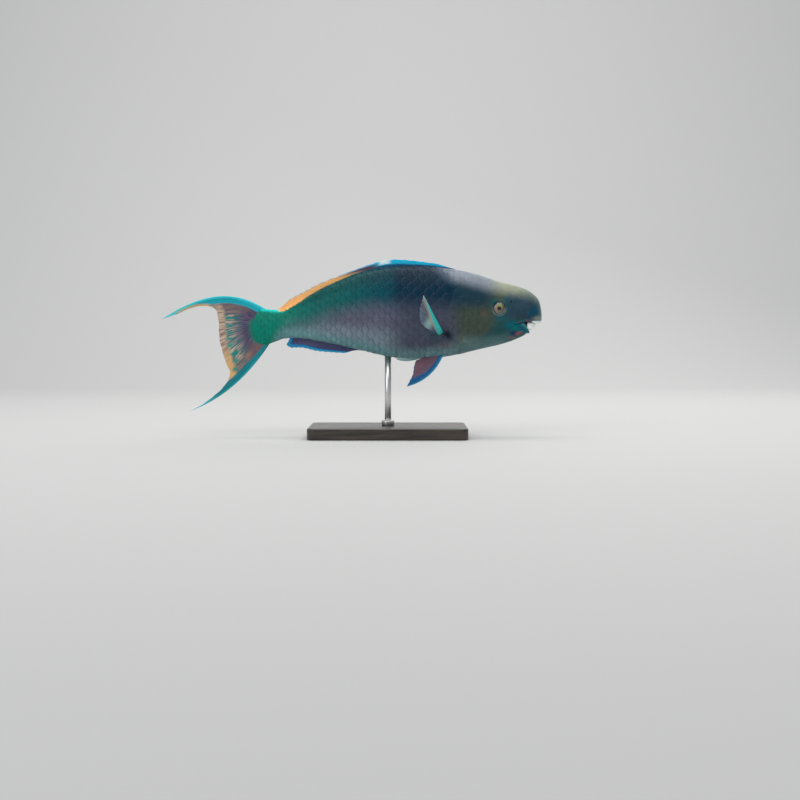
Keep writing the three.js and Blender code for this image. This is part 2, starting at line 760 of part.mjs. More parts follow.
for (const [word, side] of [['right', -1], ['left', 1]]) {
  add(`pectoral_fin_${word}`, rooted(finSolid({
    place: pectoralPlace(side), rays: pectoralRays, rows: rayRows, root: pectoralRootThick,
  })), finBlue);
}
add('pelvic_fin_right', rooted(finSolid({
  place: pelvicPlace(-1, rightPelvicTips, rightPelvicBow), rays: pelvicRays, root: pelvicRootThick,
})), finRed);
add('pelvic_fin_left', rooted(finSolid({
  place: pelvicPlace(1, leftPelvicTips, leftPelvicBow), rays: pelvicRays, root: pelvicRootThick,
})), finRed);

add('stand_base', standBase(), standWood);
add('stand_rod', largest(post(rodRadius, baseHeight + gap, rodTopZ).subtract(bodyGrown)), standSteel);
add('stand_collar', standCollar(), standSteel);

export default fish;
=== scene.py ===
import math

import bpy
import mathutils
import numpy as np
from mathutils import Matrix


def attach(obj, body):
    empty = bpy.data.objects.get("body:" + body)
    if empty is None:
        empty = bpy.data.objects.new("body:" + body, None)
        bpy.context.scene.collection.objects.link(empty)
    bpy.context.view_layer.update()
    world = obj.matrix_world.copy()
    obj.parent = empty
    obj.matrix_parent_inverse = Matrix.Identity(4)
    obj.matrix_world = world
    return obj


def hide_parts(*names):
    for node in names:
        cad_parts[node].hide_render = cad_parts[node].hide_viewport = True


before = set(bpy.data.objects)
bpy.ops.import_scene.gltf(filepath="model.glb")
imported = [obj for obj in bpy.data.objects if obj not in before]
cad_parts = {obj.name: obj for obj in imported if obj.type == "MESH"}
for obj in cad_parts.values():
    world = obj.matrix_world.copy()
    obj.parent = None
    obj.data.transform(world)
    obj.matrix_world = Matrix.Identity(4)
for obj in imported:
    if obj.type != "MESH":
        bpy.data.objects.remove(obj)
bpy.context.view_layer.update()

# A parrotfish in metres. Shapes are worked out in millimetres in the frame of the solids: +X ahead, +Z up.
mm = 0.001
random = np.random.default_rng(11)


# Small tools

def smooth(low, high, value):
    # 0 at low, 1 at high, with level ends; low may be above high
    t = np.clip((value - low) / (high - low), 0, 1)
    return t * t * (3 - 2 * t)


def bell(value, centre, width):
    return np.exp(-((value - centre) / width) ** 2)


def mix(first, second, share):
    return first + (second - first) * share


def unit(vector):
    # the same directions at length 1
    return vector / np.maximum(np.linalg.norm(vector, axis=-1, keepdims=True), 1e-9)


def gridNormal(grid):
    # unit normals of a grid of points, from its two directions
    return unit(np.cross(np.gradient(grid, axis=0), np.gradient(grid, axis=1)))


def runAlong(points, axis):
    # distance covered since the first point, along one axis of a grid of points
    steps = np.linalg.norm(np.diff(points, axis=axis), axis=-1)
    start = np.zeros_like(np.take(steps, [0], axis=axis))
    return np.concatenate([start, np.cumsum(steps, axis=axis)], axis=axis)


def easeTo(value, limit, room):
    # the value itself up to the limit, then less and less, to rest at room beyond it; room may be negative
    over = np.maximum(0, (value - limit) * np.sign(room))
    return np.where(over > 0, limit + room * (1 - np.exp(-over / abs(room))), value)


def curveThrough(stations, warp=lambda place: place):
    # smooth curve through stations without overshoot: each slope is the harmonic mean of its neighbours'
    knots = np.array(sorted((float(warp(place)), value) for place, value in stations))
    rise = np.diff(knots[:, 1]) / np.diff(knots[:, 0])
    pair = rise[:-1] * rise[1:]
    total = np.where(pair > 0, rise[:-1] + rise[1:], 1)
    slope = np.concatenate([rise[:1], np.where(pair > 0, 2 * pair / total, 0), rise[-1:]])

    def at(place):
        spot = np.clip(warp(np.asarray(place, float)), knots[0, 0], knots[-1, 0])
        i = np.clip(np.searchsorted(knots[:, 0], spot, side="right") - 1, 0, len(knots) - 2)
        span = knots[i + 1, 0] - knots[i, 0]
        t = (spot - knots[i, 0]) / span
        return ((2 * t ** 3 - 3 * t ** 2 + 1) * knots[i, 1] + (t ** 3 - 2 * t ** 2 + t) * span * slope[i]
                + (3 * t ** 2 - 2 * t ** 3) * knots[i + 1, 1] + (t ** 3 - t ** 2) * span * slope[i + 1])

    return at


def splineThrough(points):
    # centripetal spline through points, read by its share of length
    knots = np.array(points, float)
    ends = [2 * knots[0] - knots[1], *knots, 2 * knots[-1] - knots[-2]]
    lines = []
    for a, b, c, d in zip(ends[:-3], ends[1:-2], ends[2:-1], ends[3:]):
        t0 = 0
        t1 = t0 + np.linalg.norm(b - a) ** 0.5
        t2 = t1 + np.linalg.norm(c - b) ** 0.5
        t3 = t2 + np.linalg.norm(d - c) ** 0.5
        t = np.linspace(t1, t2, 40, endpoint=False)[:, None]
        ab = a + (b - a) * (t - t0) / (t1 - t0)
        bc = b + (c - b) * (t - t1) / (t2 - t1)
        cd = c + (d - c) * (t - t2) / (t3 - t2)
        abc = ab + (bc - ab) * (t - t0) / (t2 - t0)
        bcd = bc + (cd - bc) * (t - t1) / (t3 - t1)
        lines.append(abc + (bcd - abc) * (t - t1) / (t2 - t1))
    line = np.concatenate([*lines, knots[-1:]])
    length = runAlong(line, 0)
    return lambda share: np.stack(
        [np.interp(share, length / length[-1], line[:, axis]) for axis in range(line.shape[1])], -1)


def speckle(points, size, seed):
    # value noise from 0 to 1: hashed lattice values, blended smoothly between the corners of each cell
    spot = np.asarray(points, float) / size + 1000.5
    cell = np.floor(spot).astype(np.int64)
    part = spot - cell
    part = part * part * (3 - 2 * part)
    total = np.zeros(spot.shape[:-1])
    for corner in range(8):
        pick = np.array([corner & 1, corner >> 1 & 1, corner >> 2 & 1])
        at = cell + pick
        code = (at[..., 0] * 73856093) ^ (at[..., 1] * 19349663) ^ (at[..., 2] * 83492791) ^ (seed * 7919)
        code = (code ^ (code >> 13)) * 1274126177 & 0xFFFFFFFF
        weight = np.prod(np.where(pick, part, 1 - part), axis=-1)
        total += weight * ((code >> 8) & 0xFFFF) / 65535
    return total


def cloud(points, size, seed):
    # three sizes of speckle, from -1 to 1
    return (speckle(points, size, seed) * 1.1 + speckle(points, size * 0.47, seed + 1) * 0.6
            + speckle(points, size * 0.21, seed + 2) * 0.3) - 1


def tint(red, green, blue):
    # a colour given as 0 to 255 on screen, as linear light
    share = np.array([red, green, blue]) / 255
    return np.where(share < 0.04045, share / 12.92, ((share + 0.055) / 1.055) ** 2.4)


def cover(paint, colour, mask):
    # lay a colour over paint where mask is 1
    return paint + (colour - paint) * np.clip(mask, 0, 1)[..., None]


def lay(paint, palette, *coats):
    # cover paint with one colour of the palette after another, each with its mask
    for name, mask in coats:
        paint = cover(paint, palette[name], mask)
    return paint


# Putting shapes into Blender

def gridFaces(rows, columns, wrap=False):
    # quads of a grid of points, row by row; wrap joins the last column to the first
    i, j = np.meshgrid(np.arange(rows - 1), np.arange(columns if wrap else columns - 1), indexing="ij")
    k = (j + 1) % columns
    a, b, c, d = i * columns + j, i * columns + k, (i + 1) * columns + k, (i + 1) * columns + j
    return np.stack([a, b, c, d], -1).reshape(-1, 4)


def tubeFaces(rings, columns):
    # faces of a tube's rings, and a fan at either end to the two points that follow the rings' own
    j = np.arange(columns)
    after, start, end = (j + 1) % columns, (rings - 1) * columns, rings * columns
    first = np.stack([np.full(columns, end), after, j], -1)
    last = np.stack([np.full(columns, end + 1), start + j, start + after], -1)
    return [gridFaces(rings, columns, wrap=True), first, last]


def cellUv(along, around):
    # uv of every corner of a grid's quads: u from the list of its rows' places, v from its columns'
    row, column = np.divmod(np.arange((len(along) - 1) * (len(around) - 1)), len(around) - 1)
    corners = (row, column), (row, column + 1), (row + 1, column + 1), (row + 1, column)
    return np.stack([np.stack([along[i], around[j]], -1) for i, j in corners], 1).reshape(-1, 2)


def tubeUv(along, around):
    # uv for the faces of tubeFaces: the fans fill narrow teeth at the left and right border
    low, high = around[:-1], around[1:]
    middle = (low + high) / 2
    first = (0.004, middle), (along[0], high), (along[0], low)
    last = (0.996, middle), (along[-1], low), (along[-1], high)
    fans = [np.stack([np.stack([u + 0 * v, v], -1) for u, v in fan], 1) for fan in (first, last)]
    return np.concatenate([cellUv(along, around), *(fan.reshape(-1, 2) for fan in fans)])


def borderOf(rows, columns):
    # the numbers of a grid's border points, once round
    index = np.arange(rows * columns).reshape(rows, columns)
    return np.concatenate([index[:-1, 0], index[-1, :-1], index[:0:-1, -1], index[0, :0:-1]])


def putMesh(name, points, faces, material, slot, paint=None, vectors=None, uv=None):
    # points in mm; faces is a list of index arrays with 3 or 4 columns; uv is given by point or face corner
    corners = np.concatenate([part.ravel() for part in faces])
    sizes = np.concatenate([np.full(len(part), part.shape[1]) for part in faces])
    mesh = bpy.data.meshes.new(name)
    mesh.vertices.add(len(points))
    mesh.vertices.foreach_set("co", (np.asarray(points) * mm).astype(np.float32).ravel())
    mesh.loops.add(len(corners))
    mesh.loops.foreach_set("vertex_index", corners.astype(np.int32))
    mesh.polygons.add(len(sizes))
    mesh.polygons.foreach_set("loop_start", np.concatenate([[0], np.cumsum(sizes)[:-1]]).astype(np.int32))
    mesh.polygons.foreach_set("use_smooth", np.ones(len(sizes), bool))
    mesh.update(calc_edges=True)
    if paint is not None:
        layer = mesh.attributes.new("paint", "FLOAT_COLOR", "POINT")
        opaque = np.concatenate([paint, np.ones((len(paint), 1))], 1)
        layer.data.foreach_set("color", opaque.astype(np.float32).ravel())
    for key, values in (vectors or {}).items():
        layer = mesh.attributes.new(key, "FLOAT_VECTOR", "POINT")
        layer.data.foreach_set("vector", values.astype(np.float32).ravel())
    if uv is not None:
        layer = mesh.uv_layers.new(name="OFBake")
        spread = uv if len(uv) == len(corners) else uv[corners]
        layer.data.foreach_set("uv", spread.astype(np.float32).ravel())
    mesh.validate(clean_customdata=False)
    obj = bpy.data.objects.new(name, mesh)
    bpy.context.scene.collection.objects.link(obj)
    mesh.materials.append(material)
    if slot:
        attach(obj, "root")
    return obj


class Shader:
    # a node tree in a few words: add takes a kind, links by socket, settings and values by socket
    def __init__(self, name):
        self.material = bpy.data.materials.new(name)
        self.material.use_nodes = True
        self.tree = self.material.node_tree
        self.tree.nodes.clear()
        self.place = self.add("TexCoord").outputs["Object"]

    def add(self, kind, links=None, settings=None, **values):
        node = self.tree.nodes.new("ShaderNode" + kind)
        for key, value in (settings or {}).items():
            setattr(node, key, value)
        for key, value in values.items():
            node.inputs[key.replace("_", " ")].default_value = value
        for key, source in (links or {}).items():
            socket = source.outputs[0] if hasattr(source, "outputs") else source
            self.tree.links.new(socket, node.inputs[key])
        return node

    def attribute(self, name, output="Color"):
        return self.add("Attribute", settings={"attribute_name": name}).outputs[output]

    def noise(self, scale, detail=2, place=None, **values):
        return self.add("TexNoise", {"Vector": place or self.place}, Scale=scale, Detail=detail, **values)

    def spread(self, value, low, high, fromLow=0.3, fromHigh=0.7):
        # the value's range taken to another one
        return self.add("MapRange", {"Value": value}, From_Min=fromLow, From_Max=fromHigh, To_Min=low,
                        To_Max=high)

    def times(self, first, second):
        return self.add("VectorMath", {0: first, 1: second}, {"operation": "MULTIPLY"})

    def wave(self, value, often):
        # the sine of a value times a number
        turn = self.add("Math", {0: value}, {"operation": "MULTIPLY"})
        turn.inputs[1].default_value = often
        return self.add("Math", {0: turn}, {"operation": "SINE"})

    def bump(self, height, strength, distance, over=None, settings=None):
        links = {"Height": height, "Normal": over} if over else {"Height": height}
        return self.add("Bump", links, settings, Strength=strength, Distance=distance)

    def finish(self, shader):
        output = self.add("OutputMaterial")
        self.tree.links.new(shader.outputs[0], output.inputs["Surface"])
        return self.material


# The body's outline: the same stations as the solids

snoutX, tailBaseX, tailCap = 214.4, -192, 20
capStart = tailBaseX + tailCap


def behindSnout(x):
    # the blunt snout is smooth in the square root of the distance behind it
    return np.sqrt(np.maximum(0, snoutX - x))


backAt = curveThrough([
    (214.4, 168), (213.4, 179.2), (209.6, 192.1), (203, 199.4), (193.2, 205.8), (177.8, 211.4),
    (155.4, 216.7), (133, 224.8), (93.8, 234.1), (43.4, 239), (16.8, 239.4), (-28, 233), (-84, 211.5),
    (-130, 186.8), (-149.8, 178.3), (-165, 178.8), (-176, 180.2), (-192, 181)], behindSnout)
bellyAt = curveThrough([
    (214.4, 168), (212.5, 160.4), (207, 153), (203.6, 149.6), (195.3, 145.4), (186.2, 140.3), (168, 133),
    (128.8, 122.6), (77, 112), (39, 109.5), (12.6, 110.6), (-32, 119.8), (-88, 132.2), (-131.6, 138.3),
    (-145.6, 137.2), (-159.6, 132.3), (-171, 128.8), (-192, 127)], behindSnout)
snoutPath = snoutX - np.linspace(0, 6, 600) ** 2
snoutTops, snoutBottoms = backAt(snoutPath), bellyAt(snoutPath)


def frontAt(z):
    # x of the snout's outline at a height, read back from the back's and the belly's lines
    return np.where(z >= snoutTops[0], np.interp(z, snoutTops, snoutPath),
                    np.interp(-z, -snoutBottoms, snoutPath))


widthAt = curveThrough([
    (214.4, 0), (213.4, 6.5), (209.6, 10.5), (204, 14), (193, 18.2), (175, 22), (153, 24.6), (128, 27),
    (100, 29.5), (60, 31), (0, 30), (-60, 24), (-110, 16), (-150, 9.4), (-172, 6.6),
    (-192, 2.2)], behindSnout)
gillAt = curveThrough([
    (260, 102), (233.8, 98), (191.8, 89.6), (163.8, 81.2), (140, 85.4), (121.8, 114.8), (100, 128)])

bend = {"startX": 40, "atTail": 12, "lobeLag": 16, "finEndX": -318.2}


def middleAt(x):
    # seen from above: straight in front, a parabola to the tail base, then the fin runs on and lags behind
    reach = bend["startX"] - tailBaseX
    curve = bend["atTail"] * (np.clip(bend["startX"] - x, 0, reach) / reach) ** 2
    behind = np.maximum(0, tailBaseX - x)
    lag = bend["lobeLag"] * (behind / (tailBaseX - bend["finEndX"])) ** 2
    return curve + 2 * bend["atTail"] / reach * behind - lag


def sectionAt(x):
    # top, bottom, widest level and half width; the tail end closes as a half ellipse
    shrink = np.sqrt(np.maximum(0, 1 - (np.clip(capStart - x, 0, tailCap) / tailCap) ** 2))
    rawTop, rawBottom = backAt(x), bellyAt(x)
    centre = (rawTop + rawBottom) / 2
    top = centre + (rawTop - centre) * shrink
    bottom = centre + (rawBottom - centre) * shrink
    half = widthAt(x) * np.where(x < capStart, mix(0.35, 1, shrink), 1)
    return top, bottom, mix(bottom, top, 0.53), half


def envelope(x, turn):
    # a closed oval at x: turn runs from the back down the left side (+Y) and up the right side
    top, bottom, level, half = sectionAt(x)
    rise, side = np.cos(turn), np.sin(turn)
    z = level + rise * np.where(rise > 0, top - level, level - bottom)
    y = middleAt(x) + np.sign(side) * half * np.abs(side) ** 0.92
    return np.stack([x + 0 * turn, y, z], -1)


def outwardAt(x, turn):
    # the normal from two short steps, along the fish and round it; the snout's tip steps in root distance
    r = behindSnout(x)
    ahead = envelope(snoutX - np.maximum(r - 0.01, 0.001) ** 2, turn)
    behind = envelope(np.maximum(snoutX - (r + 0.01) ** 2, tailBaseX + 0.001), turn)
    around = envelope(x, turn + 0.004) - envelope(x, turn - 0.004)
    return unit(np.cross(around, behind - ahead))


def flankAt(x, z):
    # distance from the middle out to the flank at x and z
    top, bottom, level, half = sectionAt(x)
    rise = np.where(z > level, (z - level) / (top - level), (level - z) / (level - bottom))
    return half * np.maximum(0, 1 - rise ** 2) ** 0.46


# The head's relief, as a distance out along the normal at x and z

mouth = {"corner": (177.8, 157.4), "middle": (193.9, 160.9), "front": (216, 160.3),
         "lipEndX": 196.2, "beakSide": (196, 0.2), "beakFront": (213, 1.5)}
lipLine = curveThrough([(184.4, 159.0), (187.2, 158.7), (189.8, 157.2), (191.6, 154.0), (193.8, 150.0),
                        (196.2, 146.6)])
eye = {"x": 153.6, "z": 179.1, "radius": 10, "depth": 6.4, "sink": 3.9}
nostrils = [(170.5, 188.2, 1.7), (175.2, 187.4, 1.2)]


def mouthLineAt(x):
    return np.interp(x, *zip(mouth["corner"], mouth["middle"], mouth["front"]))


def lowerLipAt(x):
    # the lower lip's edge falls from the side to the front, and keeps falling ahead of it
    return lipLine(x) - 4 * np.maximum(0, x - mouth["lipEndX"])


def beakTopAt(x):
    # the upper lip's edge over the beak, higher towards the front
    return mouthLineAt(x) + np.interp(x, *zip(mouth["beakSide"], mouth["beakFront"]))


def segmentDistance(x, z, start, end):
    # distance from the line between two places, and the share of the way along it
    run = np.array(end) - start
    share = np.clip(((x - start[0]) * run[0] + (z - start[1]) * run[1]) / (run @ run), 0, 1)
    return np.hypot(x - start[0] - share * run[0], z - start[1] - share * run[1]), share


def coverRimFar(x, z):
    # distance from the bent front rim of the gill cover
    rimX = 117.5 + 0.0052 * (176 - z) ** 2 + 0.00009 * np.maximum(0, 176 - z) ** 3
    return np.abs(x - rimX) / np.sqrt(1 + (0.0104 * (176 - z)) ** 2)


# rounded swellings of the head: height, x, half length, z, half height
swellings = {"cheek": (1.3, 150, 20, 158, 15), "snoutPad": (0.8, 190, 12, 176, 9),
             "pectoralBase": (1.2, 77, 6, 140.5, 7), "pitBehindGill": (-1.5, 82.6, 3, 143, 4.6)}


def reliefAt(x, z):
    cornerX = mouth["corner"][0]
    gate = smooth(cornerX - 3, cornerX + 4, x)
    below = mouthLineAt(x) - z
    over = z - beakTopAt(x)
    lipTurn = 0.5 * (z - lowerLipAt(x))
    out = gate * bell(over, 1.9, 1.7) * mix(1.0, 0.7, smooth(206, 213, x))  # upper lip
    out = out - 0.7 * gate * bell(over, 5.6, 1.3) * smooth(208, 200, x)  # crease above it
    out = out + 0.9 * gate * bell(below, 2.3, 1.9) * smooth(189.5, 186, x)  # lower lip beside the corner
    out = out - 0.5 * smooth(185, 189, x) * bell(lipTurn, -4.0, 1.1)  # fold under the lower lip
    groove = bell(below, 0, 0.55) * smooth(cornerX - 0.6, cornerX + 1.2, x) * smooth(193, 188, x)
    out = out - 2.4 * groove
    fold, share = segmentDistance(x, z, (cornerX - 0.5, 157.2), (170.5, 150.5))
    out = out - 0.9 * bell(fold, 0, 1.0) * (1 - 0.75 * share) + 0.5 * bell(fold, 2.2, 1.3) * (1 - share)
    chin, share = segmentDistance(x, z, (186, 147.5), (166, 138))
    out = out - 0.5 * bell(chin, 0, 1.0) * (1 - 0.5 * share)
    ring = np.hypot(x - eye["x"], z - eye["z"])
    out = out - 3.4 * smooth(8.8, 6.4, ring) + 0.55 * bell(ring, 10.4, 2.0) - 0.15 * bell(ring, 15, 2.2)
    for pitX, pitZ, radius in nostrils:
        far = np.hypot(x - pitX, z - pitZ)
        out = out - 1.3 * radius * bell(far, 0, 0.72 * radius) + 0.35 * bell(far, radius * 1.35, 0.5)
    # the gill cover's rear edge stands up, with a hollow behind it
    behindGill = gillAt(z) - x
    height = smooth(120, 128, z) * smooth(212, 202, z)
    flap = np.where(behindGill < 0, 0.8 * np.exp(np.minimum(behindGill, 0) / 9),
                    -0.6 * np.exp(-np.maximum(behindGill, 0) / 6))
    out = out + height * flap * smooth(-34, -26, behindGill)
    # its front rim is a groove with a low ridge on either side
    rimLine = coverRimFar(x, z)
    rimGate = smooth(190, 178, z) * smooth(130, 138, z)
    out = out + rimGate * (0.28 * bell(rimLine, 3.0, 2.4) - 0.5 * bell(rimLine, 0, 1.5))
    for high, atX, long, atZ, tall in swellings.values():
        out = out + high * np.exp(-((x - atX) / long) ** 2 - ((z - atZ) / tall) ** 2)
    return out


def flesh(x, turn, lift=0.0):
    # a point of the living surface: the oval, moved out along its normal by the relief and the given lift
    base = envelope(x, turn)
    out = outwardAt(x, turn)
    return base + out * (reliefAt(base[..., 0], base[..., 2]) + lift)[..., None]


# Markings, worked out from the place on the body

bodyTints = {
    "greenFront": (0, 64, 78), "green": (0, 90, 86), "greenTail": (0, 121, 101), "navy": (0, 42, 62),
    "mauve": (94, 94, 112), "mauveLow": (118, 134, 145), "mauveRear": (90, 116, 122),
    "flankMauve": (72, 76, 92), "belly": (108, 146, 150), "bellyRear": (106, 150, 155),
    "bellyHead": (92, 118, 118), "nape": (120, 128, 138), "crown": (138, 142, 122), "slate": (26, 54, 68),
    "backOrange": (240, 170, 92), "olive": (64, 76, 66), "cheekTeal": (36, 76, 80), "snout": (42, 66, 80),
    "snoutBlue": (0, 70, 94), "rim": (160, 186, 186), "lipRim": (84, 146, 144), "browTeal": (0, 72, 76),
    "chin": (52, 88, 92), "chinPale": (88, 118, 120), "teal": (0, 92, 108), "lipTan": (128, 130, 118),
    "salmon": (150, 86, 88), "deepBlue": (12, 50, 100), "mouthDark": (8, 14, 16), "orange": (134, 104, 82),
    "axil": (2, 28, 38), "lipRed": (150, 60, 80), "lipGreen": (0, 116, 96), "paleBlue": (116, 138, 146),
    "edgeTeal": (0, 66, 76), "edgeMauve": (52, 58, 78), "brightEdge": (0, 206, 196)}
tints = {key: tint(*value) for key, value in bodyTints.items()}


def blot(x, z, atX, atZ, long, high, lean=0.0):
    # a soft spot: 1 in its middle, with its long axis leaning by the given angle
    dx, dz = x - atX, z - atZ
    along = dx * math.cos(lean) + dz * math.sin(lean)
    up = -dx * math.sin(lean) + dz * math.cos(lean)
    return np.exp(-((along / long) ** 2 + (up / high) ** 2) ** 1.3)


greenEdgeAt = curveThrough([(40, 181), (10, 185), (-20, 186), (-50, 181), (-80, 175), (-110, 164),
                            (-140, 157), (-158, 140), (-170, 112), (-192, 90)])
crownEdgeAt = curveThrough([(40, 238), (70, 224), (100, 215), (130, 207), (160, 201), (190, 196),
                            (206, 190)])


def stemShare(x, z):
    # a rounded square round the tail stem: 1 at its border
    return (((x + 160) / 34) ** 4 + ((z - 153.5) / 24) ** 4) ** 0.25


def bodyPaint(x, y, z):
    spot = np.stack([x, y, z], -1)
    wander, fine = cloud(spot, 26, 3), cloud(spot, 7, 5)
    top, bottom = backAt(x), bellyAt(x)
    level = mix(bottom, top, 0.53)
    rise, fall = (z - level) / np.maximum(top - level, 0.01), (level - z) / np.maximum(level - bottom, 0.01)
    flat = np.ones(x.shape + (3,))

    # rear half: green over a falling line, mauve under it, a paler belly, a bright and an orange back edge
    above = z - greenEdgeAt(x) + 3 * wander
    green = lay(flat * tints["greenFront"], tints, ("green", smooth(10, -90, x)),
                ("greenTail", smooth(-90, -165, x)))
    rear = lay(flat * tints["mauve"], tints, ("mauveRear", smooth(-50, -125, x)),
               ("mauveLow", smooth(0.25, 0.68, fall + 0.06 * wander)),
               ("bellyRear", smooth(20, 6, z - bottom + 3 * wander)))
    rear = cover(rear, green, smooth(-24, 15, above) ** 1.3)
    orangeDeep = 2.2 * smooth(-104, -140, x)
    orangeShare = smooth(0.6, -0.6, top - z - orangeDeep) * smooth(-154.5, -152, x) * smooth(-96, -106, x)
    rear = lay(rear, tints, ("brightEdge", smooth(5.5, 1.5, top - z) * smooth(-138, -152, x) * 0.85),
               ("backOrange", orangeShare))

    # front half: navy over the same line, a darker mauve, a grey-green belly, and a pale nape that is partly
    # painted light from above
    front = lay(flat * tints["flankMauve"], tints, ("belly", smooth(21, 5, z - bottom + 4 * wander)),
                ("navy", smooth(-18, 20, above)),
                ("nape", smooth(-9, 13, z - crownEdgeAt(x) + 4 * wander) * smooth(54, 102, x)))
    soft = 6 + 16 * smooth(26, -20, above)
    paint = cover(rear, front, smooth(-1, 1, (x - 9 - 3 * wander) / soft))
    # painted shade: the back darkens towards the top, partly the fish's own darker back and partly shade that
    # keeps the back from looking lit by the lamp above
    dark = 0.38 * smooth(0.4, 0.8, rise) * smooth(-152, -118, x) * smooth(84, 50, x)
    paint = paint * (1 - dark * (1 - orangeShare))[..., None]

    # head: a pale crown, partly its own colour and partly painted light from above, slate under it, olive
    # cheek, teal in front and below
    head = lay(flat * tints["olive"], tints, ("cheekTeal", smooth(140, 158, x + 0.4 * (168 - z))),
               ("snout", smooth(163, 172, z + 0.1 * x - 15) * smooth(158, 172, x)),
               ("slate", smooth(170, 192, z + 4 * wander) * smooth(158, 128, x)),
               ("chin", smooth(150, 138, z + 4 * wander) * smooth(118, 140, x)),
               ("bellyHead", smooth(148, 128, z + 4 * wander) * smooth(140, 118, x)),
               ("chinPale", smooth(18, 3, z - bottom) * smooth(176, 150, x)))
    pale = lay(flat * tints["nape"], tints, ("crown", smooth(132, 165, x + 5 * wander)),
               ("chin", 0.45 * smooth(172, 200, x)))
    head = cover(head, pale, smooth(-9, 10, z - crownEdgeAt(x) + 3 * wander))
    paint = cover(paint, head, smooth(80, 106, x + 6 * wander))
    return headPaint(paint, x, z, fine) * (1 + 0.06 * fine[..., None])


# soft spots of the face: tint, strength, x, z, half length, half height, lean
faceBlots = [
    ("lipRed", 0.7, 193.4, 162.6, 2.6, 1.1, 0), ("lipRed", 0.4, 181.4, 159.6, 3.2, 1.0, 0.2),
    ("deepBlue", 0.9, 174, 144.6, 4.2, 3.2, 0), ("salmon", 0.75, 181.7, 145.2, 5.4, 2.4, 0.35),
    ("salmon", 0.5, 170.8, 139.4, 3.6, 1.9, 0.3), ("paleBlue", 0.5, 175.6, 138.4, 2.6, 1.4, 0.3),
    ("salmon", 0.16, 132.8, 172.2, 5, 4, 0), ("browTeal", 0.8, 146.6, 188, 6.4, 5, 0.8),
    ("teal", 0.45, 155.6, 165.6, 7.5, 3.2, 0), ("orange", 0.25, 102.6, 138, 2.4, 8, 0),
    # painted shadow of the pectoral fin: a teal blot under it and a near black blot at its base
    ("cheekTeal", 0.5, 63, 141, 13, 8, -0.3), ("axil", 0.95, 81.6, 143.2, 8.4, 5, -0.6),
    ("orange", 0.22, 80, 128, 12, 4, 0)]


def headPaint(paint, x, z, fine):
    # the small marks of the face, one over the other; painted shade in the open mouth and the eye socket,
    # painted highlights along the snout's front and over the beak
    line = mouthLineAt(x)
    edgeFar = np.maximum(0, frontAt(z) - x + 0.3 * fine)
    lip = smooth(160, 172, x) * smooth(192, 186, x) * bell(z - line, -0.6, 3.0)
    band = segmentDistance(x, z, (172, 155), (193, 149))[0]
    inside = (z < line) & (z > lowerLipAt(x) - 0.1) & (x > 186.4)
    ring = np.hypot(x - eye["x"], z - eye["z"])
    marks = [("snoutBlue", blot(x, z, 202.6, 174.6, 10.4, 6.2, 0.72)),
             ("lipTan", blot(x, z, 208, 166.2, 7.5, 3.2, 0.12) * 0.8),
             # painted highlight: a pale rim down the snout's front and a pale line along the upper lip's edge
             # over the beak
             ("rim", np.exp(-edgeFar / 2.4) * smooth(204, 172, z) * (z > 155) * 0.7),
             ("rim", bell(z - beakTopAt(x), 1.0, 0.9) * smooth(194, 202, x) * 0.6),
             ("teal", lip * 0.95), ("teal", blot(x, z, 171, 155.5, 10, 6) * 0.9),
             ("teal", smooth(6.5, 3.2, band)),
             ("lipGreen", blot(x, z, 176.2, 152.9, 4, 2.6) * 0.6),
             ("lipRim", smooth(184, 188, x) * bell(z - lowerLipAt(x), -1.5, 2.2) * 0.8)]
    marks += [(name, strength * blot(x, z, *shape)) for name, strength, *shape in faceBlots]
    # painted shade: near black inside the open mouth and on the skin of the eye socket round the ball
    marks += [("mouthDark", inside * 0.97),
              ("paleBlue", bell(ring, 9.2, 1.0) * smooth(0.6, -0.4, (z - eye["z"]) / 9) * 0.5),
              ("mouthDark", smooth(6.8, 5.4, ring) * 0.8)]
    return lay(paint, tints, *marks)


# Finishes

def skinFinish(name, roughness, coat, scaleMarks=False):
    # painted colour with fine mottling, a wet gloss over it, and a fine bump
    shader = Shader(name)
    grain = shader.noise(900, 3, Roughness=0.6)
    colour = shader.times(shader.attribute("paint"), shader.spread(shader.noise(170), 0.9, 1.1))
    gloss = shader.spread(grain, roughness - 0.06, roughness + 0.08)
    bump = shader.bump(grain, 0.16, 0.0004)
    if scaleMarks:
        # growth rings across each scale
        along = shader.add("SeparateXYZ", {"Vector": shader.attribute("scaleSpot", "Vector")}).outputs["X"]
        bump = shader.bump(shader.wave(along, 95), 0.14, 0.0003, bump)
    body = shader.add("BsdfPrincipled", {"Base Color": colour, "Roughness": gloss, "Normal": bump},
                      Coat_Weight=coat, Coat_Roughness=0.18, IOR=1.36, Specular_IOR_Level=0.14)
    return shader.finish(body)


# Skin: one closed surface over all the flesh

skinLook = {"ringStep": 0.05, "fineRings": 232, "trunkRings": 104, "capRings": 16, "sideColumns": 125,
            "mouthShare": 0.62, "crowd": 1.35, "underScales": 0.45, "lipSteps": 161, "lipColumns": 14,
            "lipThick": 1.25, "lipEndThick": 0.7, "lipFromX": 184.0, "mouthMiddle": (186, 0, 156),
            "hollowX": 198.5, "hollowDeep": 4.5, "hollowWide": 0.6}


